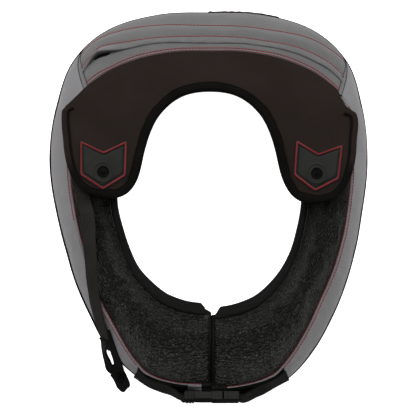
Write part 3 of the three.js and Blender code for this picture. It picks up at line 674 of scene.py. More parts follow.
# A flat woven band along points, with its own side direction and width at each (millimetres)
def bandRings(points, across, wide, thick, rib):
    along = unit(np.gradient(points, axis=0))
    side = unit(across - along * (across * along).sum(-1, keepdims=True))
    face = np.cross(along, side)
    q = np.linspace(-1, 1, rib["rows"])
    ribbed = rib["deep"] * np.abs(np.sin(np.pi * runOf(points) / rib["pitch"]))[:, None] * np.ones_like(q)
    ribbed = ribbed + rib["stripe"] * np.cos(q * np.pi * rib["stripes"])[None]
    half = thick / 2 * np.clip(1 - np.abs(q) ** 14, 0, 1) ** 0.5
    up = half[None] - ribbed * (half / half.max())[None]
    aside = q[None] * np.asarray(wide, float).reshape(-1, 1) / 2
    sheet = points[:, None] + side[:, None] * aside[..., None]
    top, low = sheet + face[:, None] * up[..., None], sheet - face[:, None] * up[..., None]
    return np.concatenate([top, low[:, -2:0:-1]], axis=1)


# Grey shell: the foam ring in its cloth cover, with a rolled edge along the seam
greyShell = {
    "step": 0.6, "wallRows": 26, "wallTop": 0.985, "rollR": 1.0, "rollTurns": [35, 65, 90, 125, 160],
    "panelThick": 1.5, "napeDrop": 4.5, "napeFoot": {-1: 143, 1: 140.3}, "napeHead": {-1: 133.5, 1: 130.8},
    "sewnWide": 1.5, "seamFade": (-2, 0.3), "ripple": 0.16, "rippleSize": 9,
    "settle": {"pressure": 10, "spare": 0.006, "bend": 0.5, "frames": 16, "cap": 1.2,
               "along": 200, "across": 9},
}


# The slanted seam on each side of the nape, from the wall's foot (0) to its top edge (1)
def napeSeam(share, turn):
    return lerp(bySide(greyShell["napeFoot"], turn), bySide(greyShell["napeHead"], turn), share)


def pastSeam(s, share):
    seam = napeSeam(share, s.turn)
    return smooth(s.angle, *[seam + by for by in greyShell["seamFade"]])


def makeShell():
    look, settle = greyShell, greyShell["settle"]
    under = form["baseThick"] + clearance
    turn, share = columnOf(0, 360, settle["along"]), rowOf(0, 1, settle["across"])
    sewn = np.abs(fold(turn) - napeSeam(share, turn)) < look["sewnWide"]
    move = settleCover(wallPoint(turn, share, 0), settle, sewn)
    turn = roundTurns(4, 20, look["step"])
    s = sectionAt(turn)
    share = ((1 - np.cos(np.linspace(0, np.pi, look["wallRows"]))) / 2 * look["wallTop"])[None]
    ripple = look["ripple"] * noiseRound(turn, 120, look["rippleSize"], 3) * smooth(share, 0.6, 0.95)
    wall = place(turn, *onWall(s, share, -(look["panelThick"] + clearance) * pastSeam(s, share) + ripple))
    wall += spreadMove(move, turn[:, 0] / 360, share[0])
    edgeR, edgeZ = onRoll(s, 0, np.radians(look["rollTurns"])[None])
    lip = lipAtFront(s) + liningThick + clearance
    across = lerp(s.seamR - rim, lip, np.array([0.0, 0.25, 0.5, 0.75])[None])
    rings = np.concatenate([
        place(turn, s.floorR + liningThick + clearance, under),
        place(turn, s.bellyR - form["toe"], under),
        place(turn, *baseEdge(s, under, np.radians([30, 60, 90])[None])),
        wall,
        place(turn, edgeR, edgeZ - look["napeDrop"] * pastSeam(s, 1)),
        place(turn, across, foamTop(s, across)),
        place(turn, lip, s.lipZ - s.cover),
    ], axis=1)
    return ringPiece("greyShell", rings, "greyCloth", "grey_cloth", "outer_shell", fill=0.85)


# Nape panel: quilted bands between stitch rows, with a flap whose left end gapes over a dark hollow
napePanel = {
    "valley": 0.3, "puff": [0.6, 1.2], "skew": [1.6, 1.0], "bandRows": 14, "flapPuff": 1.0, "underPuff": 0.5,
    "back": 1.5, "gape": 4.2, "gapeAt": 144.2, "gapeWide": 4.2, "gapeEnd": 4, "shadeTurns": (141.8, 146.8),
    "shadeShares": (-0.03, 0.028), "shadeUp": 0.25, "pucker": 0.22, "puckerSize": 7, "puckerScale": (2.4, 60),
    "endRun": 0.03, "degrees": 90, "endRound": 1.6, "sewnNear": 0.14,
    "settle": {"pressure": 18, "spare": 0.012, "bend": 0.3, "frames": 16, "cap": 1.0,
               "along": 90, "across": 20},
    "flapEdge": [(0.006, 0.25), (0.007, 0.7), (0.002, 1.0)],  # step, how far below the flap's top
    # the hollow under the flap: step, thickness, share of the lift
    "hollow": [(-0.02, 0.65, 0.75), (-0.045, 0.3, 0.3), (-0.04, 0.1, 0), (-0.012, 0.05, 0)],
    "head": [(0.4, 0.35), (0.7, 0.4), (1, 0.1)],  # share of the way to the top, thickness
    "columns": "turn row1 row2 flap row3",
    "rows": [
        [132, 0.25, 0.68, 0.75, 0.93], [139, 0.262, 0.615, 0.71, 0.945], [143, 0.27, 0.555, 0.708, 0.96],
        [146, 0.285, 0.545, 0.76, 0.962], [149, 0.33, 0.63, 0.80, 0.96], [153, 0.42, 0.71, 0.832, 0.958],
        [161, 0.512, 0.768, 0.855, 0.962], [171, 0.588, 0.80, 0.893, 0.966], [180, 0.605, 0.80, 0.90, 0.964],
        [197, 0.617, 0.82, 0.897, 0.965], [204, 0.578, 0.80, 0.885, 0.96], [210, 0.50, 0.768, 0.87, 0.957],
        [217, 0.41, 0.725, 0.85, 0.957], [221, 0.305, 0.69, 0.82, 0.957], [226, 0.26, 0.65, 0.785, 0.953],
        [231, 0.24, 0.63, 0.76, 0.95],
    ],
}


# Each row of points on the panel: the line that it lies above, its share of the way to the next, a step,
# a thickness and how far it goes with the flap's lift
def panelRows():
    look = napePanel
    rows = []
    for band, (puff, skew) in enumerate(zip(look["puff"], look["skew"])):
        for q in np.linspace(0, 1, look["bandRows"])[:-1]:
            swell = math.sin(math.pi * q ** skew) ** 0.7
            rows.append((band, q, 0, lerp(look["valley"], puff, swell), 0))
    for q in np.linspace(0, 1, 11):
        thick = lerp(look["valley"], look["flapPuff"], math.sin(math.pi * 0.62 * q) ** 0.6)
        rows.append((2, q, 0, thick, smooth(q, 0.1, 1)))
    top = rows[-1][3]
    rows += [(3, 0, step, top - below, 1) for step, below in look["flapEdge"]]
    rows += [(3, 0, step, thick, lift) for step, thick, lift in look["hollow"]]
    for q in np.linspace(0.12, 1, 9):
        rows.append((3, q, 0, lerp(0.1, look["underPuff"], math.sin(math.pi * q) ** 0.7), 0))
    rows += [(4, q, 0, thick, 0) for q, thick in look["head"]]
    return np.array(rows, float).T


# Shares of the wall at the panel's lines, by turn: foot, two stitch rows, flap, last row and top
def panelLines(turn):
    row = rowsAt(napePanel["columns"], napePanel["rows"], turn)
    return np.stack([0 * row.row1, row.row1, row.row2, row.flap, row.row3, 0 * row.row1 + 1], -1)


def panelTurn(share, run):
    return lerp(napeSeam(share, 0), 360 - napeSeam(share, 360), run)


# A line of the panel, or a place between two of them, as turns and shares
def onPanel(line, q, step, run):
    share = 0.5 + 0 * line * run
    for _ in range(6):
        turn = panelTurn(share, run)
        lines = panelLines(turn)
        below = np.broadcast_to(line.astype(int), turn.shape)[..., None]
        low, high = (np.take_along_axis(lines, below + k, -1)[..., 0] for k in (0, 1))
        share = np.clip(lerp(low, high, q) + step, 0, 1)
    return turn, share


# A black sheet under the flap's edge: painted shade in the hollow that the flap's left end gapes over
def makeFlapShade():
    look = napePanel
    turn = columnOf(*look["shadeTurns"], 40)
    wide = np.sin(np.pi * columnOf(0.02, 0.98, 40)) ** 0.8
    share = panelLines(turn)[..., 3] + lerp(*look["shadeShares"], rowOf(0, 1, 8)) * wide
    up = look["underPuff"] + look["shadeUp"]
    rings = [wallPoint(turn, share, up), wallPoint(turn, share[:, ::-1], 0.1)]
    return ringPiece("flapShade", np.concatenate(rings, axis=1), "blackCloth", "black_cloth")


def makeNapePanel():
    look, settle = napePanel, napePanel["settle"]
    line, q, step, thick, lift = (row[None] for row in panelRows())
    ends = np.linspace(0, look["endRun"], 8)
    middle = np.linspace(look["endRun"], 1 - look["endRun"], 150)
    run = np.concatenate([ends[:-1], middle, 1 - ends[-2::-1]])[:, None]
    turn, share = onPanel(line, q, step, run)
    edge = np.minimum(run, 1 - run) * look["degrees"]
    roundOff = np.sqrt(np.clip(1 - (1 - np.clip(edge / look["endRound"], 0, 1)) ** 2, 0, 1))
    gape = look["gape"] * np.exp(-((turn - look["gapeAt"]) / look["gapeWide"]) ** 2)
    gape *= smooth(edge, 0.4, look["gapeEnd"])
    spot = np.stack([turn, share + 0 * turn], -1) * np.array(look["puckerScale"])
    pucker = look["pucker"] * softNoise(spot, look["puckerSize"], 5)
    out = (thick + pucker * smooth(thick, 0.4, 1.2)) * lerp(0.05, 1, roundOff) + gape * lift
    front = wallPoint(turn, share, out)
    even = rowOf(0, 4.999, settle["across"])
    turn, share = onPanel(np.floor(even), even % 1, 0, columnOf(0, 1, settle["along"]))
    sewn = (np.abs(even - np.round(even)) < look["sewnNear"]) & (np.round(even) != 3)  # not at the flap
    move = settleCover(wallPoint(turn, share, 1), settle, sewn)
    front += spreadMove(move, run[:, 0], (line + q)[0] / 5) * smooth(thick, 0.3, 1)[..., None]
    back = rowOf(1, 0, 12)
    rings = np.concatenate([front, wallPoint(panelTurn(back, run), back, -look["back"])], axis=1)
    return ringPiece("napePanel", rings, "shadedNapeCloth", "grey_cloth", "nape_panel", fill=0.6)


# Base panel: black cloth underside, turned up to a corded edge, with brown piping on a stretch of the nape
basePanel = {
    "step": 0.75, "cordR": 1.15, "napeOut": 0.55, "sideOut": {-1: 0.75, 1: 0.35},
    "sideTurns": (24, 34), "napeTurns": (118, 146), "pipingTurns": (179.3, 199.5), "pipingR": 1.6,
    "pipingGather": 0.2, "gatherSize": 3, "pipingIn": 0.5, "pipingUp": 0.3, "pipingEnd": 0.5,
}


def makeBase():
    look = basePanel
    turn = np.arange(0, 360 + look["step"] / 2, look["step"])[:, None]
    s = sectionAt(turn)
    cord, cordTurn = look["cordR"], np.radians(rowOf(-60, 190, 9))
    nape = smooth(s.angle, *look["napeTurns"])
    edge = s.bellyR - cord + look["napeOut"] * nape
    edge = edge + bySide(look["sideOut"], turn) * smooth(s.angle, *look["sideTurns"]) * (1 - nape)
    inner = s.floorR + liningThick + clearance
    rings = np.concatenate([
        place(turn, lerp(inner, s.bellyR - form["toe"], rowOf(0, 0.95, 12)), 0),
        place(turn, *baseEdge(s, 0, np.radians(rowOf(0, 78, 8)))),
        place(turn, edge + cord * np.cos(cordTurn), s.bellyZ - cord * 0.4 + cord * np.sin(cordTurn)),
        place(turn, *baseEdge(s, form["baseThick"], np.radians(rowOf(84, 0, 5)))),
        place(turn, inner, form["baseThick"]),
    ], axis=1)
    return ringPiece("basePanel", rings, "blackCloth", "black_cloth", "base_panel", fill=0.8)


def makePiping():
    look = basePanel
    turn = columnOf(*look["pipingTurns"], 130)
    s = sectionAt(turn)
    around = np.linspace(0, 2 * np.pi, 12, endpoint=False)[None]
    ends = np.clip(np.minimum(turn - turn[0], turn[-1] - turn) / look["pipingEnd"], 0.15, 1) ** 0.5
    gather = look["pipingGather"] * noiseRound(turn, napeR, look["gatherSize"], 51)
    thick = (look["pipingR"] + gather) * ends
    r, z = s.bellyR - look["pipingIn"], s.bellyZ + look["pipingUp"]
    spot = place(turn, r + thick * np.cos(around), z + thick * np.sin(around))
    markTint(ringPiece("napePiping", spot, "bindingTape", "binding"), np.ones(spot.shape[:2]))


# Neck lining: smooth black wall of the neck hole, folded over the top as a band
neckLining = {
    "step": 0.6, "lipIn": {-1: 0.9, 1: 0.5}, "foldThick": 1.7, "wallPuff": 0.7, "bandPuff": 0.5,
    "pinch": 0.22, "pinchSize": 5, "bandFrom": 2.4, "edgeIn": 0.1, "edgeDown": 0.4,
    "roundIn": [0.15, 0.7, 1.4], "roundUp": [-2.0, -0.85, -0.25],
}


def makeLining():
    look = neckLining
    turn = roundTurns(6, 40, look["step"])
    s = sectionAt(turn)
    lip, under = lipAtFront(s) - bySide(look["lipIn"], turn), s.lipZ - s.cover + clearance
    top = under + liningThick
    outer = np.maximum(s.lipR + s.band, lip + liningThick + 1)
    foldTop = foamTop(s, outer) + clearance + look["foldThick"]
    k, q = rowOf(0, 1, 16), rowOf(0, 0.94, 9)
    pinch = look["pinch"] * noiseRound(turn, 80, look["pinchSize"], 11)
    puff = look["wallPuff"] * np.sin(np.pi * k)
    band = lerp(top, foldTop, q) + look["bandPuff"] * np.sin(np.pi * q) + pinch * q
    rings = np.concatenate([
        place(turn, lerp(s.floorR, lip, k) - puff, lerp(form["liningFoot"], under - 1, k)),
        place(turn, lip + np.array(look["roundIn"])[None], top + np.array(look["roundUp"])[None]),
        place(turn, lerp(lip + look["bandFrom"], outer, q), band),
        place(turn, outer - look["edgeIn"], foldTop - look["edgeDown"]),
        place(turn, outer, foamTop(s, outer) + clearance),
        place(turn, lip + liningThick, under),
        place(turn, s.floorR + liningThick, form["liningFoot"]),
    ], axis=1)
    return ringPiece("neckLining", rings, "smoothLining", "black_cloth", "neck_lining", fill=0.5)


# Leather pads: two crowned pads, rolled over at the seam and at the slit
leatherPads = {
    "end": 112, "step": 0.36, "rows": 96, "edgeRise": 0.6, "innerThick": 1.9, "fineEnd": 3,
    "slitRound": {-1: 1.8, 1: 3.4}, "reach": {-1: -2.9, 1: 0.6}, "reachEnd": 9, "draw": (0.6, 1.25),
    "calmOuter": 0.08, "calmInner": 0.06,
    "settle": {"pressure": 22, "spare": 0.010, "bend": 0.4, "frames": 18, "cap": 2.0,
               "along": 56, "across": 15},
    "wrinkles": [(17, 0.16, 21), (7, 0.07, 22), (3.2, 0.04, 23)],
}


def padTop(s, q):
    outer = s.seamR - rim - clearance
    inner = np.maximum(s.lipR + s.band, lipAtFront(s) + liningThick + 1) + clearance
    low = foamTop(s, inner) + clearance + leatherPads["innerThick"]
    return lerp(outer, inner, q), lerp(s.seamZ + leatherPads["edgeRise"], low, q) + crownAt(s, q)


def makePad(side):
    look, settle = leatherPads, leatherPads["settle"]
    turn = turnOn(side, columnOf(0, look["end"], settle["along"]))
    move = settleCover(place(turn, *padTop(sectionAt(turn), rowOf(0, 1, settle["across"]))), settle)
    reach = look["slitRound"][side]
    start = (1 - np.cos(np.linspace(0, np.pi / 2, 14))) * look["fineEnd"]
    rest = np.arange(look["fineEnd"] + 0.3, look["end"] + 0.1, look["step"])
    angle = np.concatenate([start, rest])[:, None]
    turn = turnOn(side, angle)
    even = np.linspace(0, 1, look["rows"])
    q = ((1 - np.cos(np.pi * even)) / 2 * 0.6 + even * 0.4)[None]
    s = sectionAt(turn)
    r, z = padTop(s, q)
    fromSlit = np.clip(r * np.sin(np.radians(angle)), 0, reach)
    z = z - (reach - np.sqrt(reach ** 2 - (reach - fromSlit) ** 2))
    top = place(turn, r, z) + spreadMove(move, angle[:, 0] / look["end"], q[0])
    flatSpot = np.stack([r * np.radians(angle), r], -1)
    calm = smooth(q, 0, look["calmOuter"]) * smooth(1 - q, 0, look["calmInner"]) * smooth(fromSlit, 0, reach)
    for size, depth, seed in look["wrinkles"]:
        crest = 1 - 2 * np.abs(softNoise(flatSpot * np.array(look["draw"]), size, seed + side))
        top[..., 2] += depth * crest * calm
    low = lerp(r[:, -1:], s.seamR - rim - clearance, rowOf(0, 1, 9))
    rings = np.concatenate([top, place(turn, low, foamTop(s, low) + clearance)], axis=1)
    rings[:, :look["rows"], 0] -= look["reach"][side] * (1 - smooth(angle, 0, look["reachEnd"]))
    names = "leatherPad." + sides[side], "leather_pad_" + sides[side]
    return ringPiece(names[0], rings, "grainedLeather", "leather", names[1], fill=0.75, sharp=70)


# Front facings: black ends of the collar, on both sides of the slit, turned round onto the grey wall, and the
# black patch that the front strap is sewn over
frontFacings = {
    "inset": 0.5, "topDrop": 2.4, "face": 1.1, "behind": 1.3, "lipLap": 0.3, "slant": {-1: 3.2, 1: 0},
    "slantRun": 8, "roundX": [0, 0.08, 0.25, 1], "roundIn": [0.9, 0.3, 0, 0],
    "wrapTo": {-1: 6.6, 1: 13.5}, "wrapThick": 0.9, "wrapOut": 0.6,
    "wrapRib": {"rows": 15, "deep": 0, "pitch": 2, "stripe": 0.05, "stripes": 2},
    "patchFrom": {-1: 5.4, 1: 2.4}, "patchTo": {-1: 22.5, 1: 22.9}, "patchTop": 0.97, "patchThick": 0.8,
    "patchSwell": 2.8, "swellTo": (9, 13), "patchOver": (66, 28), "overTo": (8, 22),
    "patchUp": 0.5, "patchUnder": -0.1,
}


def makeFacing(side):
    look = frontFacings
    s = sectionAt(np.array(turnOn(side, 0.0)))
    inset = look["inset"]
    deep = side * (form["slit"] / 2 + form["facingThick"] + look["behind"])
    inner = lipAtFront(s) - look["lipLap"]
    q = np.linspace(0, 1, 30)
    top = lerp(s.seamZ, s.lipZ, q) + crownAt(s, q) - inset - look["topDrop"] * smooth(q, 0, 0.05)
    lines = [
        (np.linspace(s.floorR + liningThick, s.bellyR - form["toe"], 8), np.full(8, inset)),
        baseEdge(s, inset, np.radians([25, 45, 65, 80])),
        onWall(s, np.linspace(0.1, 0.95, 9), -inset),
        (lerp(s.seamR - rim, inner + 2, q), top),
        (np.array([inner]), np.array([s.lipZ - 3])),
    ]
    outline = np.stack([np.concatenate([np.atleast_1d(line[k]) for line in lines]) for k in (0, 1)], -1)
    along = unit(np.roll(outline, -1, 0) - np.roll(outline, 1, 0))
    inward = np.stack([-along[:, 1], along[:, 0]], -1)
    rings = []
    for x, by in zip(look["roundX"], look["roundIn"]):
        r, z = (outline + inward * by).T
        r = r + look["slant"][side] * (1 - x) * (1 - smooth(r, inner, inner + look["slantRun"]))
        rings.append(np.stack([np.full_like(r, lerp(look["face"], deep, x)), -r, z], -1))
    node = "front_facing_" + sides[side]
    return ringPiece("frontFacing." + sides[side], rings, "smoothLining", "black_cloth", node)


def makeWrap(side):
    look = frontFacings
    s = sectionAt(np.array(turnOn(side, 0.0)))
    wall = onWall(s, np.linspace(0.04, 0.97, 30), look["wrapThick"] / 2 + 0.1)
    roll = onRoll(s, look["wrapOut"], np.radians(np.linspace(40, 150, 12)))
    r, z = (np.concatenate(parts) for parts in zip(wall, roll))
    face, end = look["face"], side * look["wrapTo"][side]
    middle = np.stack([np.full_like(r, (face + end) / 2), -r, z], -1)
    wide = np.full(len(r), abs(end - face))
    band = bandRings(middle, np.array([[1.0, 0, 0]]), wide, look["wrapThick"], look["wrapRib"])
    return ringPiece("frontWrap." + sides[side], band, "smoothLining", "black_cloth", sharp=80)


def makePatch(side):
    look = frontFacings
    turn = turnOn(side, columnOf(look["patchFrom"][side], look["patchTo"][side], 60))
    share = rowOf(0.03, 1, 16) * look["patchTop"]
    ends = np.clip(np.minimum(np.abs(turn - turn[0]), np.abs(turn - turn[-1])) / 0.4, 0.2, 1)
    s = sectionAt(turn)
    swell = look["patchSwell"] * (1 - smooth(s.angle, *look["swellTo"])) * (1 - smooth(share, 0.4, 0.8))
    swell = swell * smooth(share, 0, 0.12)
    over = lerp(*look["patchOver"], smooth(s.angle, *look["overTo"]))
    over = np.radians(over * rowOf(0.25, 1, 7))
    rings = np.concatenate([
        place(turn, *onWall(s, share, 0.1 + (look["patchThick"] + swell) * ends)),
        place(turn, *onRoll(s, look["patchUp"], over)),
        place(turn, *onRoll(s, look["patchUnder"], over[:, ::-1])),
        place(turn, *onWall(s, share[:, ::-1], 0.05)),
    ], axis=1)
    return ringPiece("strapPatch." + sides[side], rings, "blackCloth", "black_cloth", sharp=60)


# Yoke: neoprene over the nape, with a round lobe on each side
yoke = {
    "thick": 4, "inset": 2.2, "arch": 1.2, "lobeTip": {-1: 92.3, 1: 89.3}, "lobeFull": 112, "lobeTipR": 79.5,
    "tipInset": 1.3, "lobeWide": 60, "corner": 124.4, "cornerRun": 4, "step": 0.7,
    "rightShort": 4.6, "shortFrom": (119, 125), "shortTo": (126, 132), "columns": "angle inR outR inZ outZ",
    "rows": [
        [89, 58.9, 123.8, 49.2, 53.2], [97, 58.9, 123.8, 50, 56.4], [103, 58.9, 123.8, 51.1, 58],
        [107, 58.9, 123.8, 51.9, 58.6], [112, 58.9, 123.8, 52.9, 58.8], [116, 59.8, 129.2, 53.8, 59],
        [120, 60.9, 134.9, 54.8, 59.6], [123.5, 62.6, 139, 55.8, 60.2], [128, 64.7, 135.2, 57, 60.4],
        [134, 68.3, 134.2, 58.4, 60.2], [141, 73, 132.2, 60, 60.8], [150, 79.3, 129, 61.8, 62.2],
        [165, 86.4, 123.3, 63.4, 64.1], [180, 87.4, 120.2, 64, 64.8],
    ],
    "lobeColumns": "along inR outR",  # along goes with the square root of the way from the tip
    "lobe": [
        [-0.1, 83, 75], [0, 79.5, 79.5], [0.1, 76, 84], [0.2, 71.6, 89.6], [0.31, 67.8, 96],
        [0.42, 65, 101.6], [0.54, 62.7, 106.3], [0.7, 60.3, 111.9], [0.84, 59.1, 117.2],
        [1, 58.9, 123.8], [1.12, 59, 128.5],
    ],
    "ripple": [(30, 0.45, 31), (9, 0.12, 32)],
}


def yokeRow(turn):
    turn = np.asarray(turn, float)
    angle = fold(turn)
    row = rowsAt(yoke["columns"], yoke["rows"], angle)
    short = smooth(angle, *yoke["shortFrom"]) * (1 - smooth(angle, *yoke["shortTo"]))
    row.outR = row.outR - np.where(sideOf(turn) > 0, yoke["rightShort"], 0) * short
    return row


def lobeTip(turn, inset=0.0):
    return bySide(yoke["lobeTip"], turn) + np.degrees(yoke["tipInset"] * inset / yoke["lobeTipR"])


# The yoke's inner and outer edge: a lobe's are drawn in to its tip
def yokeEdges(turn, inset=0.0):
    turn = np.asarray(turn, float)
    angle, row, tip = fold(turn), yokeRow(turn), lobeTip(turn, inset)
    bound = 1 - smooth(angle, yoke["corner"], yoke["corner"] + yoke["cornerRun"])
    along = np.sqrt(np.clip((angle - tip) / (yoke["lobeFull"] - tip), 0, 1))
    lobe = rowsAt(yoke["lobeColumns"], yoke["lobe"], along)
    middle = (lobe.inR + lobe.outR) / 2
    half = np.maximum((lobe.outR - lobe.inR) / 2 - inset * smooth(along, 0, 0.35), 0)
    isLobe = angle < yoke["lobeFull"]
    outer = np.where(isLobe, middle + half, row.outR - inset * bound)
    return np.where(isLobe, middle - half, row.inR + inset), outer


def yokeTop(turn, r):
    row = yokeRow(turn)
    t = (row.outR - r) / (row.outR - row.inR)
    arch = yoke["arch"] * np.minimum(1, (row.outR - row.inR) / yoke["lobeWide"]) ** 2
    return lerp(row.outZ, row.inZ, t) + arch * 4 * t * (1 - t)


def yokePoint(turn, r, depth=0.0):
    return place(turn, r, yokeTop(turn, r) - depth)


# Turns along a lobe, from its tip to where it is full
def lobeTurns(side, count, inset=0.0):
    full, tip = yoke["lobeFull"], lobeTip(turnOn(side, 90), inset)
    return turnOn(side, full - (full - tip) * np.cos(np.linspace(0, np.pi / 2, count)))


def makeYoke():
    full = yoke["lobeFull"]
    left, right = (lobeTurns(side, 26, yoke["inset"]) for side in sides)
    turn = np.concatenate([left[:-1], np.arange(full, 360 - full, yoke["step"]), right[::-1]])[:, None]
    inR, outR = yokeEdges(turn, yoke["inset"])
    top = yokePoint(turn, lerp(outR, inR, rowOf(0, 1, 44)))
    for size, deep, seed in yoke["ripple"]:
        top[..., 2] += deep * softNoise(top[..., :2], size, seed)
    rings = np.concatenate([top, yokePoint(turn, lerp(outR, inR, rowOf(1, 0, 12)), yoke["thick"])], axis=1)
    return ringPiece("neopreneYoke", rings, "neoprene", "neoprene", "yoke", fill=0.9, flat=True)


# Binding: a tape folded round the yoke's free edge, from one outer corner to the other
binding = {
    "step": 0.9, "rounds": 36, "half": 3.3, "wall": 0.9, "depthOut": 6.4, "depthIn": 7.4, "gather": 0.4,
    "gatherSize": 5, "endSink": 2.6, "endRun": 7, "endBare": 7, "seamShare": 0.84,
    "tintFrom": 100, "tintTo": 108, "tintShare": 0.7, "probe": 6, "tipAngle": 93.5, "blend": 6,
}


# The yoke's edge at the middle of its thickness: outer corner, lobe, neck edge, lobe, outer corner
def bindingRoute():
    halves = []
    full, depth = yoke["lobeFull"], yoke["thick"] / 2
    for side in sides:
        lobe = lobeTurns(side, 60)
        outside = np.concatenate([turnOn(side, np.linspace(yoke["corner"], full, 40))[:-1], lobe[::-1]])
        inside = np.concatenate([lobe, turnOn(side, np.linspace(full, 180, 160))[1:]])
        halves.append(np.concatenate([
            yokePoint(outside, yokeEdges(outside)[1], depth),
            yokePoint(inside, yokeEdges(inside)[0], depth)[1:],
        ]))
    route = evenly(np.concatenate([halves[0], halves[1][-2::-1]]), binding["step"])
    for _ in range(binding["rounds"]):
        route[1:-1] = (route[:-2] + 2 * route[1:-1] + route[2:]) / 4
    return route


def bindingFrame(route):
    along = unit(np.gradient(route, axis=0))
    level = unit(np.cross(upwards, along))
    probe = binding["probe"]
    slope = (yokeTop(*polar(route + level * probe)) - yokeTop(*polar(route))) / probe
    inside = level + slope[:, None] * upwards
    inside = unit(inside - along * (inside * along).sum(-1, keepdims=True))
    high = np.cross(along, inside)
    return inside, high * np.sign(high[:, 2:])


# How much of the binding's outer stretch a place on its route belongs to, and its angle
def outerShare(route):
    turn, r = polar(route)
    inR, outR = yokeEdges(turnOn(-1, np.maximum(fold(turn), binding["tipAngle"])))
    return smooth(r - (inR + outR) / 2, -binding["blend"], binding["blend"]), fold(turn)


def makeBinding():
    look = binding
    route = bindingRoute()
    inside, high = bindingFrame(route)
    isOuter, angle = outerShare(route)
    gather = look["gather"] * softNoise(route, look["gatherSize"], 41)
    depth = lerp(look["depthIn"], look["depthOut"], isOuter) + gather * 1.2 * (1 - isOuter)
    h, w = look["half"], look["wall"]
    profile = np.array([  # share of the depth, height, how much the gathers lift it
        [1, -h + 0.5, 0], [0.6, -h + 0.1, 0], [0.28, -h, 0], [0.12, -h * 0.86, 0], [0.035, -h * 0.55, 0],
        [0, 0, 0], [0.035, h * 0.55, 0], [0.12, h * 0.86, 0.3], [0.28, h, 0.6], [0.45, h + 0.05, 1],
        [0.62, h, 1], [0.76, h - 0.1, 0.7], [0.84, h - 0.45, 0.3], [0.91, h - 0.1, 0.7], [0.97, h - 0.15, 1],
        [1, h - 0.45, 1], [0.99, h - w, 1], [0.5, h - w, 0], [0.16, h - w - 0.3, 0], [0.12, 0, 0],
        [0.16, w - h + 0.3, 0], [0.97, w - h + 0.2, 0],
    ])
    lifted = profile[:, 1] + profile[:, 2] * gather[:, None] * 0.6
    fromEnd = np.minimum(np.arange(len(route)), np.arange(len(route))[::-1]) * look["step"]
    route = route + inside * (look["endSink"] * (1 - smooth(fromEnd, 0, look["endRun"])))[:, None]
    rings = (route[:, None] + inside[:, None] * (profile[:, 0] * depth[:, None])[..., None]
             + high[:, None] * lifted[..., None])
    piece = ringPiece("yokeBinding", rings, "bindingTape", "binding", "yoke_binding", sharp=75)
    tint = isOuter * smooth(angle, look["tintFrom"], look["tintTo"])
    markTint(piece, tint[:, None] * (profile[:, 0] < look["tintShare"]))
    return piece


# Badges: bare chevron plates on the lobes, sunken inside a raised edge, each with a press stud
badge = {
    "angle": {-1: 109.3, 1: 108.4}, "r": 87.9, "wide": 37.5, "tall": 39.4, "notch": 9, "turn": {-1: 0, 1: 6},
    "studDown": 5.5, "outlineIn": 1.0, "outlineUp": 0.12, "corner": 1.2,
    "steps": [(0, -0.4), (0, 0.7), (0.35, 1.0), (1.9, 1.05), (2.3, 0.45), (3.0, 0.4), (3.3, 1.3), (3.8, 1.6),
              (4.6, 1.65)],  # inset, height
}


def lobeFrame(side):
    turn, r = np.array(turnOn(side, badge["angle"][side]), float), badge["r"]
    outwards = yokePoint(turn, r + 3) - yokePoint(turn, r - 3)
    around = yokePoint(turn + 3, r) - yokePoint(turn - 3, r)
    up = unit(np.cross(around, outwards))
    up = up * np.sign(up[2])
    spin = math.radians(badge["turn"][side])
    y = np.array([math.sin(spin), math.cos(spin), 0])
    y = unit(y - up * (y @ up))
    return yokePoint(turn, r), np.cross(y, up), y, up


def onLobe(side, flat, height):
    middle, x, y, up = lobeFrame(side)
    spot = middle + flat[..., :1] * x + flat[..., 1:] * y
    spot[..., 2] = yokeTop(*polar(spot))
    return spot + up * np.asarray(height, float)[..., None]


def chevron(inset):
    w, h = badge["wide"] / 2, badge["tall"] / 2
    low = [w * 0.96, -h * 0.42]
    corners = np.array([[-w, h], [0, h - badge["notch"]], [w, h], low, [0, -h], [-low[0], low[1]]])
    edge = unit(np.roll(corners, -1, 0) - corners)
    normal = np.stack([edge[:, 1], -edge[:, 0]], -1)  # inwards, for corners that run clockwise
    before = np.roll(normal, 1, 0)
    return corners + (before + normal) * inset / (1 + (before * normal).sum(-1, keepdims=True))


# The outline with its corners rounded, as even points
def chevronLine(inset, step=0.8):
    points = chevron(inset)
    made = []
    for k in range(len(points)):
        before, here, after = points[k - 1], points[k], points[(k + 1) % len(points)]
        a, b = here + unit(before - here) * badge["corner"], here + unit(after - here) * badge["corner"]
        for t in np.linspace(0, 1, 5):
            made.append((1 - t) ** 2 * a + 2 * t * (1 - t) * here + t * t * b)
    made.append(made[0])
    return evenly(np.array(made), step)


def makeBadge(side):
    count = len(chevronLine(0)) - 1
    rings = []
    for inset, height in badge["steps"]:
        line = chevronLine(inset)
        line = readAt(np.linspace(0, len(line) - 1, count + 1)[:-1], np.arange(len(line)), line)
        rings.append(onLobe(side, line, np.full(count, height)))
    last = lerp(line, line.mean(0), 0.5)
    rings.append(onLobe(side, last, np.full(count, height - 0.05)))
    names = "badge." + sides[side], "badge_" + sides[side]
    return ringPiece(names[0], rings, "badgeRubber", "badge_rubber", names[1], flat=True, sharp=35)


# Press studs: a dished cap inside a moulded ring, as profiles of radius and height
pressStud = {
    "cap": [(0, -0.6), (4.5, -0.6), (4.7, 0.05), (4.6, 0.35), (4.3, 0.45), (4.0, 0.35), (3.8, 0.1),
            (3.5, 0.05), (1.7, 0.05), (1.35, 0.15), (1.1, 0.35), (0.6, 0.45), (0, 0.47)],
    "ring": [(6.7, -0.2), (6.9, 0.2), (7.3, 0.36), (7.9, 0.36), (8.3, 0.2), (8.5, -0.2)], "around": 48,
}


def turned(profile, around):
    a = np.linspace(0, 2 * np.pi, around, endpoint=False)
    return np.array([[(r * math.cos(t), r * math.sin(t), z) for t in a] for r, z in profile])


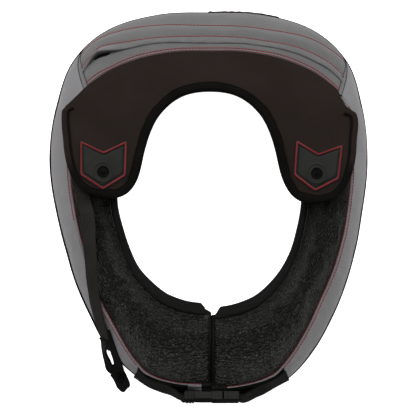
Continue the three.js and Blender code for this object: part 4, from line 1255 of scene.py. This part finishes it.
def makeStud(side):
    look, seat = pressStud, badge["steps"][-1][1]
    made = []
    for profile in (look["cap"], look["ring"]):
        rings = turned(profile, look["around"])
        made.append(onLobe(side, rings[..., :2] - np.array([0, badge["studDown"]]), rings[..., 2] + seat))
    node = "press_stud_" + sides[side]
    ringPiece("pressStud." + sides[side], made[0], "darkMetal", "dark_metal", node, sharp=60)
    return addPiece(loopMesh("studRing." + sides[side], made[1]), "badgeRubber", "badge_rubber")


# Side strap: webbing from under the left lobe along the seam and over the wall, sewn under a tab with a stud
sideStrap = {
    "thick": 2.1, "tabRound": 6, "tabTo": 37.5, "webFrom": 35.5, "tabRise": 1.5, "step": 0.2, "floor": 0.1,
    "riseAt": (30, 35), "skewFrom": (28, 34), "seamFrom": (34, 44),
    "slim": {"from": (29.4, 31.2), "to": (35, 36.8), "aside": 0.28, "up": 0.9, "less": 0.42},
    "stud": {"angle": 26.9, "r": 149.9},
    "rib": {"rows": 25, "deep": 0.1, "pitch": 1.5, "stripe": 0.12, "stripes": 3},
    "tabRib": {"rows": 25, "deep": 0.0, "pitch": 1.5, "stripe": 0.1, "stripes": 1},
    "columns": "angle r z lean wide",
    "rows": [
        [24, 156.6, 1.6, 0, 11.2], [25.2, 153.6, 1.6, 0, 11.2], [27.5, 148.7, 1.6, 0, 11.2],
        [29, 146.7, 1.6, 0, 11.5], [31, 144.6, 3.4, 26, 12], [32.6, 142.6, 7, 56, 11.5],
        [34.6, 139, 13.6, 72, 11], [36.9, 133, 21.3, 66, 11], [39.8, 128.3, 26.2, 59, 11],
        [42.9, 124, 29.2, 54, 11], [46, 119.8, 32, 48, 11], [49.2, 115.9, 34.5, 42, 11],
        [52.7, 112, 36.9, 38, 11], [58.2, 107, 39.4, 30, 11], [64.1, 102.5, 42, 26, 11],
        [70.5, 99.4, 43.9, 18, 11], [77.4, 96.8, 45.2, 11, 11], [84.4, 96.2, 46.4, 6, 11],
        [91.4, 98.5, 46.2, 3, 11], [97, 102, 47.3, 5, 11], [102, 105.6, 48.9, 5, 11],
    ],
    # the strap's second ply, from the wall down to the tab: angle, r, z, how far it faces up, width
    "fold": [
        [38.2, 125.2, 28.4, 37, 3.6], [36.4, 128.2, 26.2, 38, 4.6], [34.3, 132, 23.6, 38, 5.8],
        [32.2, 135.5, 18.8, 38, 6.6], [30.2, 139.4, 12.8, 42, 7], [29, 142.6, 7.2, 52, 7.4],
        [27.9, 145.9, 3.6, 74, 8],
    ],
    "studCap": [(0, -0.1), (2.8, -0.1), (3.0, 0.2), (2.8, 0.5), (2.4, 0.65), (2.0, 0.55),
                (1.6, 0.15), (0, 0.1)],
}


def strapRoute(start, end):
    look = sideStrap
    angle = np.arange(start, end, look["step"])
    row = rowsAt(look["columns"], look["rows"], angle)
    skew = rowsAt(form["skewColumns"], form["skew"], angle)
    drawnIn = lerp(skew.belly, skew.seam, smooth(angle, *look["seamFrom"]))
    drawnIn = drawnIn * smooth(angle, *look["skewFrom"])
    points = place(angle, row.r - drawnIn, row.z)
    along = np.gradient(points, axis=0)
    level = unit(np.stack([-along[:, 1], along[:, 0], 0 * angle], -1))
    lean = np.radians(row.lean)[:, None]
    across = level * np.cos(lean) - upwards * np.sin(lean)
    return angle, points, across, row.wide


def makeStrap():
    look = sideStrap
    _, points, across, wide = strapRoute(look["webFrom"], look["rows"][-1][0])
    band = bandRings(points, across, wide, look["thick"], look["rib"])
    return ringPiece("sideStrap", band, "strapWebbing", "webbing", "side_strap", sharp=80)


def makeTab():
    look, slim = sideStrap, sideStrap["slim"]
    angle, points, across, wide = strapRoute(look["rows"][0][0], look["tabTo"])
    tip = np.clip((runOf(points) + 0.3) / look["tabRound"], 0, 1)
    tip = np.sqrt(np.clip(1 - (1 - tip) ** 2, 0, 1))
    face = unit(np.cross(across, np.gradient(points, axis=0)))
    rise = smooth(angle, *look["riseAt"])[:, None]
    points = points + face * np.sign(face[:, 2:]) * look["tabRise"] * rise
    # only the tab's outer edge shows on its way up
    edge = smooth(angle, *slim["from"]) * (1 - smooth(angle, *slim["to"]))
    points = points + across * (wide * slim["aside"] * edge)[:, None] + upwards * slim["up"] * edge[:, None]
    wide = wide * (1 - slim["less"] * edge) * tip
    band = bandRings(points, across, wide, look["thick"], look["tabRib"])
    band[..., 2] = np.maximum(band[..., 2], look["floor"])
    return ringPiece("strapTab", band, "webbing", "webbing", sharp=80)


def makeStrapFold():
    look = sideStrap
    rows = [np.concatenate([np.ravel(place(row[0], *row[1:3])), row[3:]]) for row in look["fold"]]
    route = throughPoints(rows, 70)
    lean = np.radians(route[:, 3:4])
    face = unit(route[:, :3] * np.array([1, 1, 0])) * np.cos(lean) + upwards * np.sin(lean)
    across = unit(np.cross(np.gradient(route[:, :3], axis=0), face))
    band = bandRings(route[:, :3], across, route[:, 4], look["thick"], look["tabRib"])
    return ringPiece("strapFold", band, "webbing", "webbing", sharp=80)


def makeEyelet():
    look, stud = sideStrap, sideStrap["stud"]
    seat = look["rows"][0][2] + look["thick"] / 2 + 0.1
    cap = turned(look["studCap"], 36) + place(stud["angle"], stud["r"], seat)
    return ringPiece("tabEyelet", cap, "darkMetal", "dark_metal", "tab_eyelet", sharp=60)


# Buckle: a side-release plug and socket on the front strap. Its shapes have x along it, y through it and z up
# it. The outlines are lower halves, and the boxes are spans of x, y and z.
buckle = {
    "plugEnd": -20.2, "socketEnd": 23, "lean": 1.5, "out": 5.1, "z": 16.5, "sharp": 25,
    "plugArms": {
        "thick": 5.4, "bevel": 0.6,
        "half": [(-14, -12.2), (-12.4, -12.2), (-7, -13.7), (-1, -13.4), (9.6, -12.2), (9.6, -9),
                 (-1, -8.8), (-10.6, -8.6), (-10.6, -3), (8, -2.6)],
    },
    "socketBody": {
        "thick": 6.4, "bevel": 1.1,
        "half": [(1.3, -13.2), (2.5, -14), (13, -14), (14.4, -13), (22, -13), (23, -12)],
    },
    "plugBase": ((-20.2, -12.6), (-3.0, 3.0), (-13.2, 13.2)), "baseBevel": 0.9, "ribBevel": 0.3,
    "plugRib": {"at": (-18.8, -16.3, -14.0), "wide": 1.1, "through": (-3.4, 3.4), "up": (-13.9, 13.9)},
    "socketRib": {"at": (15.8, 18.2, 20.6), "wide": 1.2, "through": (-3.5, 3.5), "up": (-11.5, 11.5)},
    "plugCuts": {"webHole": ((-21.2, -16.2), (-1.3, 1.3), (-10.6, 10.6))},
    "socketCuts": {
        "hollow": ((0.3, 11), (-2.75, 2.75), (-12.7, 12.7)), "armStep": ((0.3, 9.8), (-4, 4), (13.5, 16)),
        "groove": ((9.7, 10.9), (-4, 4), (11.8, 16)), "grooveUnder": ((9.7, 10.9), (-4, 4), (-16, -13.2)),
        "webHole": ((19, 24), (-1.3, 1.3), (-10.6, 10.6)), "faceSlot": ((0.3, 4.5), (-6, -2.6), (-5, 5)),
    },
}
# Front strap: its lower edge stands off the wall on the way from its sewn end to the buckle
webStrap = {
    "thick": 1.6, "wide": 20,
    "rows": {  # angle, lower edge's R, lean, lower edge's Z
        -1: [[22.6, 145.4, 17.2, 11.5], [19.5, 147.2, 13, 10.8], [17, 148.5, 13.4, 10.6],
             [14.2, 149.2, 15.5, 10.4], [11, 150.2, 15, 9.2]],
        1: [[23.3, 148.2, 18, 11.6], [18.7, 149.4, 13.5, 10.9], [14.3, 152.1, 17.8, 10.5],
            [11.6, 153.2, 15, 9.2]],
    },
    "ends": {  # along the buckle from its end, out from it, lean
        -1: [(5, 1.1, 7), (2.2, 0, 10), (0.6, -0.8, 12), (-3, 0, 0)],
        1: [(5, -0.5, 13), (2.2, -0.7, 13), (0.6, -0.5, 11), (-3, 0, 0)],
    },
    "rib": {"rows": 41, "deep": 0.16, "pitch": 1.35, "stripe": 0.07, "stripes": 12},
}


def buckleMatrix():
    r, z = np.mean([onWall(sectionAt(turn), 0.5, 0) for turn in (0.0, 360.0)], axis=0)
    lean = math.radians(buckle["lean"])
    y = -(r + buckle["out"] + (z - buckle["z"]) * math.tan(lean))
    return Matrix.Translation((0, y, buckle["z"])) @ Matrix.Rotation(-lean, 4, "X")


def makeWeb(side):
    look, matrix = webStrap, buckleMatrix()
    rows = []
    for angle, lowR, lean, lowZ in look["rows"][side]:
        turn, tilt = turnOn(side, angle), math.radians(lean)
        low = place(turn, lowR, lowZ)
        up = unit(place(turn, lowR - math.sin(tilt), lowZ + math.cos(tilt)) - low)
        rows.append(np.concatenate([low + up * look["wide"] / 2, up]))
    end = buckle["plugEnd"] if side < 0 else buckle["socketEnd"]
    for x, y, lean in look["ends"][side]:
        tilt = math.radians(lean)
        up = np.array(matrix.to_3x3() @ Vector((0, math.sin(tilt), math.cos(tilt))))
        rows.append(np.concatenate([np.array(matrix @ Vector((end + side * x, y, 0))), up]))
    route = throughPoints(rows, 190)
    wide = np.full(len(route), look["wide"])
    rings = bandRings(route[:, :3], route[:, 3:], wide, look["thick"], look["rib"])
    node = "front_strap_" + sides[side]
    return ringPiece("frontStrap." + sides[side], rings, "webbing", "webbing", node, sharp=80)


# An outline made thick along y and bevelled
def slab(name, outline, thick, bevel):
    work = bmesh.new()
    face = work.faces.new([work.verts.new((x, -thick / 2, z)) for x, z in outline])
    made = bmesh.ops.extrude_face_region(work, geom=[face])
    moved = [v for v in made["geom"] if isinstance(v, bmesh.types.BMVert)]
    bmesh.ops.translate(work, verts=moved, vec=(0, thick, 0))
    bmesh.ops.recalc_face_normals(work, faces=work.faces)
    if bevel:
        bmesh.ops.bevel(work, geom=work.edges[:], offset=bevel, segments=3, profile=0.6, affect="EDGES",
                        clamp_overlap=True)
    mesh = bpy.data.meshes.new(name)
    work.to_mesh(mesh)
    work.free()
    return mesh


def block(name, x, y, z, bevel=0.0):
    mesh = slab(name, [(x[0], z[0]), (x[1], z[0]), (x[1], z[1]), (x[0], z[1])], y[1] - y[0], bevel)
    mesh.transform(Matrix.Translation((0, (y[0] + y[1]) / 2, 0)))
    return mesh


def wholeSlab(name):
    look = buckle[name]
    outline = look["half"] + [(x, -z) for x, z in reversed(look["half"])]
    return slab(name, outline, look["thick"], look["bevel"])


def ribs(name):
    look = buckle[name]
    return [block(name, (x, x + look["wide"]), look["through"], look["up"], buckle["ribBevel"])
            for x in look["at"]]


def joinAndCut(name, added, cuts, node):
    removed = [block(cut, *box) for cut, box in cuts.items()]
    pieces = [newObject(mesh.name, mesh) for mesh in added + removed]
    body = pieces[0]
    for k, other in enumerate(pieces[1:], 1):
        step = body.modifiers.new("step", "BOOLEAN")
        step.object, step.solver = other, "EXACT"
        step.operation = "UNION" if k < len(added) else "DIFFERENCE"
    mesh = plainMesh(body)
    for other in pieces:
        bpy.data.objects.remove(other)
    mesh.name = name
    for matrix in (buckleMatrix(), Matrix.Translation(Vector(shift)), Matrix.Scale(mm, 4)):
        mesh.transform(matrix)
    return addPiece(closeMesh(mesh, buckle["sharp"]), "mouldedPlastic", "plastic", node)


def makePlug():
    base = block("plugBase", *buckle["plugBase"], buckle["baseBevel"])
    added = [wholeSlab("plugArms"), base, *ribs("plugRib")]
    return joinAndCut("bucklePlug", added, buckle["plugCuts"], "buckle_plug")


def makeSocket():
    added = [wholeSlab("socketBody"), *ribs("socketRib")]
    return joinAndCut("buckleSocket", added, buckle["socketCuts"], "buckle_socket")


shell = makeShell()
makeFlapShade()
panel = makeNapePanel()
makeBase()
makePiping()
lining = makeLining()
for side in sides:
    makePad(side)
for side in sides:
    makeFacing(side)
    makeWrap(side)
    makePatch(side)
makeYoke()
bindingPiece = makeBinding()
for side in sides:
    makeBadge(side)
    makeStud(side)
    makeWeb(side)
makeStrap()
makeTab()
makeStrapFold()
makeEyelet()
makePlug()
makeSocket()

# Stitches, in millimetres and radians
stitchColumns = ("Pitch", "Length", "Width", "Turn", "Uneven", "Seed")
stitches = {
    "edge": (2.4, 2.3, 0.75, 0.0, 0.04, 3), "seam": (2.6, 2.45, 0.8, 0.0, 0.05, 4),
    "nape": (2.8, 2.7, 1.0, 0.0, 0.05, 5), "slant": (2.8, 2.7, 0.7, 0.0, 0.05, 6),
    "outline": (0.42, 1.5, 0.55, 1.5, 0.05, 7), "dark": (2.8, 2.2, 0.6, 0.0, 0.06, 9),
}


# Thread laid along a line, one capsule for each stitch
def stitchTree():
    sockets = {"Geometry": "Geometry", **dict.fromkeys(stitchColumns, "Float"), "Seed": "Int"}
    sockets["Thread"] = "Material"
    tree, given, out = newGroup("stitchRun", sockets, {"Geometry": "Geometry"}, "GeometryNodeTree")

    def add(kind, inputs=None, **settings):
        return addNode(tree, kind, inputs, **settings).outputs

    line = add("GeometryNodeMeshToCurve", {"Mesh": given["Geometry"]})
    spaced = add("GeometryNodeResampleCurve", {"Curve": line[0], "Length": given["Pitch"]}, mode="LENGTH")
    stitch = add("GeometryNodeMeshUVSphere", {"Segments": 8, "Rings": 5, "Radius": 0.5})
    size = add("ShaderNodeCombineXYZ", {"X": given["Length"], "Y": given["Width"], "Z": given["Width"]})
    onEnd = add("GeometryNodeTransform", {"Geometry": stitch["Mesh"], "Rotation": (0, math.pi / 2, 0)})
    sized = add("GeometryNodeTransform", {"Geometry": onEnd[0], "Scale": size[0]})
    face = add("GeometryNodeInputNamedAttribute", {"Name": "face"}, data_type="FLOAT_VECTOR")
    tangent = {"Vector": add("GeometryNodeInputTangent")[0]}
    ahead = add("FunctionNodeAlignRotationToVector", tangent, axis="X")
    up = {"Rotation": ahead[0], "Vector": face[0]}
    upright = add("FunctionNodeAlignRotationToVector", up, axis="Z", pivot_axis="X")
    low, high = (calc(tree, way, given["Turn"], given["Uneven"]) for way in ("SUBTRACT", "ADD"))
    chance = add("FunctionNodeRandomValue", {2: low, 3: high, "Seed": given["Seed"]}, data_type="FLOAT")
    spin = add("FunctionNodeAxisAngleToRotation", {"Axis": (0, 0, 1), "Angle": chance[1]})
    both = {"Rotation": upright[0], "Rotate By": spin[0]}
    turned = add("FunctionNodeRotateRotation", both, rotation_space="LOCAL")
    laid = {"Points": spaced[0], "Instance": sized[0], "Rotation": turned[0]}
    real = add("GeometryNodeRealizeInstances", {"Geometry": add("GeometryNodeInstanceOnPoints", laid)[0]})
    soft = add("GeometryNodeSetShadeSmooth", {"Geometry": real[0]})
    dyed = add("GeometryNodeSetMaterial", {"Geometry": soft[0], "Material": given["Thread"]})
    tree.links.new(dyed[0], out[0])
    return tree


stitching = stitchTree()


def surfaceOf(piece):
    mesh = piece.data
    return BVHTree.FromPolygons([v.co for v in mesh.vertices], [list(p.vertices) for p in mesh.polygons])


# Lays a line of points (millimetres) on a piece, and gives the places and the surface's normals
def layOn(surface, points, lift):
    spots, faces = [], []
    for point in toFrame(points):
        spot, normal, _, _ = surface.find_nearest(Vector(point))
        spots.append(np.array(spot) + np.array(normal) * lift * mm)
        faces.append(np.array(normal))
    return np.array(spots), np.array(faces)


def sewRows(name, rows, thread, material):
    spots, faces = (np.concatenate(parts) for parts in zip(*rows))
    edges, start = [], 0
    for row in rows:
        edges += [(start + k, start + k + 1) for k in range(len(row[0]) - 1)]
        start += len(row[0])
    mesh = bpy.data.meshes.new(name)
    mesh.from_pydata(spots.tolist(), edges, [])
    mark = mesh.attributes.new("face", "FLOAT_VECTOR", "POINT")
    mark.data.foreach_set("vector", faces.astype(np.float32).ravel())
    piece = newObject(name, mesh)
    run = piece.modifiers.new("stitches", "NODES")
    run.node_group = stitching
    items = stitching.interface.items_tree
    sockets = {item.name: item.identifier for item in items if item.in_out == "INPUT"}
    for label, value in zip(stitchColumns, stitches[thread]):
        run[sockets[label]] = value * mm if label in ("Pitch", "Length", "Width") else value
    run[sockets["Thread"]] = finish[material]
    plainMesh(piece)
    return sewIn(piece, None)


# Where the rows run: angles, runs or shares with a count of points, and offsets in millimetres
seams = {
    "lift": 0.2, "fineLift": 0.1, "darkLift": 0.15,
    "edgeAngles": (0.9, 126, 260), "edgeIn": 1.9, "edgeUp": 0.4,
    "wallShare": 0.975, "wallAngles": {-1: [(23.5, 47, 200), (84, 125, 200)], 1: [(23.5, 125, 200)]},
    "napeRun": (0.009, 0.991, 240), "napeLines": (1, 2, 4), "fineLine": 4, "fineShare": 0.8,
    "slantShares": (0.05, 0.99, 40), "slantShell": -1.0, "slantPanel": 0.8, "slantOut": 0.5,
    "bandAngles": (7, 92, 220), "bandIn": 1.6, "bandUp": 2.4,
}


def makeSeamRows():
    surface = surfaceOf(shell)
    edge, seam = [], []
    for side in sides:
        turn = turnOn(side, np.linspace(*seams["edgeAngles"]))
        s = sectionAt(turn)
        line = place(turn, s.seamR - seams["edgeIn"], s.seamZ + seams["edgeUp"])
        edge.append(layOn(surface, line, seams["lift"]))
        for angles in seams["wallAngles"][side]:  # the left row stops under the side strap
            line = wallPoint(turnOn(side, np.linspace(*angles)), seams["wallShare"], 0)
            seam.append(layOn(surface, line, seams["lift"]))
    sewRows("redEdgeStitches", edge, "edge", "redThread")
    return sewRows("redSeamStitches", seam, "seam", "redThread")


def makeNapeRows():
    surface = surfaceOf(panel)
    run = np.linspace(*seams["napeRun"])

    def along(line, q, lift):
        return layOn(surface, wallPoint(*onPanel(np.full(1, line), q, 0, run), napePanel["valley"]), lift)

    rows = [along(line, 0, seams["lift"]) for line in seams["napeLines"]]
    fine = along(seams["fineLine"], seams["fineShare"], seams["fineLift"])
    sewRows("redNapeEdge", [fine], "edge", "redThread")
    return sewRows("redNapeStitches", rows, "nape", "redThread")


def makeSlantRows():
    rows = []
    share = np.linspace(*seams["slantShares"])
    for aside, piece in ((seams["slantShell"], shell), (seams["slantPanel"], panel)):
        surface = surfaceOf(piece)
        for side in sides:
            turn = turnOn(side, napeSeam(share, turnOn(side, 90)) + aside)
            rows.append(layOn(surface, wallPoint(turn, share, seams["slantOut"]), seams["lift"]))
    return sewRows("slantedSeamStitches", rows, "slant", "darkThread")


def makeOutlines():
    rows = []
    for side in sides:
        line = chevronLine(badge["outlineIn"], 0.5)
        spots = onLobe(side, line, np.full(len(line), badge["steps"][3][1] + badge["outlineUp"]))
        rows.append((toFrame(spots), np.repeat(lobeFrame(side)[3][None], len(line), 0)))
    return sewRows("badgeOutlines", rows, "outline", "redThread")


def makeDarkRows():
    route, bare = bindingRoute(), binding["endBare"]
    inside, high = bindingFrame(route)
    deep = lerp(binding["depthIn"], binding["depthOut"], outerShare(route)[0])[:, None] * binding["seamShare"]
    line = (route + inside * deep + high * binding["half"])[bare:-bare]
    rows = [layOn(surfaceOf(bindingPiece), line, seams["darkLift"])]
    onLining = surfaceOf(lining)
    for side in sides:
        turn = turnOn(side, np.linspace(*seams["bandAngles"]))
        s = sectionAt(turn)
        outer = s.lipR + s.band - seams["bandIn"]
        line = place(turn, outer, foamTop(s, outer) + seams["bandUp"])
        rows.append(layOn(onLining, line, seams["darkLift"]))
    return sewRows("darkStitches", rows, "dark", "darkThread")


makeSeamRows()
makeNapeRows()
makeSlantRows()
makeOutlines()
makeDarkRows()

# Floor, light and camera. The camera has the photograph's view: from the front, high above, with 0.8 mm to a
# pixel at the target.
stage = {
    "floor": (0.92, 0.92, 0.92), "floorWorn": (0.9, 0.9, 0.9), "size": 6, "world": 0.24, "glow": 1.05,
    "rough": 0.9, "gloss": 0.1, "patch": 0.4, "amount": 0.3,
    "lamps": {
        "left": {"spot": (-0.95, 0.9, 0.95), "size": 0.9, "power": 18},
        "right": {"spot": (0.95, 0.9, 0.95), "size": 0.9, "power": 17},
        "top": {"spot": (-0.05, 0.1, 1.6), "size": 1.0, "power": 9.5},
    },
}
view = {"elevation": 78, "distance": 1.4, "lens": 150, "sensor": 36, "targetZ": 0.03, "raise": 0.0016}


def makeFloor():
    mesh = bpy.data.meshes.new("floor")
    far = stage["size"] / 2
    mesh.from_pydata([(-far, -far, 0), (far, -far, 0), (far, far, 0), (-far, far, 0)], [], [(0, 1, 2, 3)])
    sockets = {"Roughness": stage["rough"], "Specular IOR Level": stage["gloss"],
               "Emission Color": (1, 1, 1, 1), "Emission Strength": stage["glow"]}
    material, tree, shader, spot, _ = newMaterial("paleFloor", sockets)
    marks = groupNode(tree, handling, {"Place": spot, "Patch": stage["patch"], "Amount": stage["amount"]})
    tree.links.new(mixColour(tree, marks["Mask"], stage["floor"], stage["floorWorn"]), shader["Base Color"])
    mesh.materials.append(material)
    newObject("floor", mesh)


def makeLight():
    world = bpy.data.worlds.new("studio")
    scene.world = world
    world.use_nodes = True
    back = world.node_tree.nodes["Background"]
    back.inputs["Color"].default_value = (1, 1, 1, 1)
    back.inputs["Strength"].default_value = stage["world"]
    for name, look in stage["lamps"].items():
        light = bpy.data.lights.new(name, "AREA")
        light.shape, light.size, light.energy = "SQUARE", look["size"], look["power"]
        lamp = newObject(name, light)
        lamp.location = look["spot"]
        lamp.rotation_euler = (-Vector(look["spot"])).to_track_quat("-Z", "Y").to_euler()
    scene.view_settings.view_transform = "Standard"


def makeCamera():
    camera = newObject("camera", bpy.data.cameras.new("camera"))
    rise = math.radians(view["elevation"])
    back = Vector((0, -math.cos(rise), math.sin(rise)))
    up = Vector((0, math.sin(rise), math.cos(rise)))
    target = Vector((0, shift[1] * mm, view["targetZ"])) - up * view["raise"]
    camera.location = target + back * view["distance"]
    camera.rotation_euler = (-back).to_track_quat("-Z", "Y").to_euler()
    camera.data.lens = view["lens"]
    camera.data.sensor_width = view["sensor"]
    scene.camera = camera


makeFloor()
makeLight()
makeCamera()
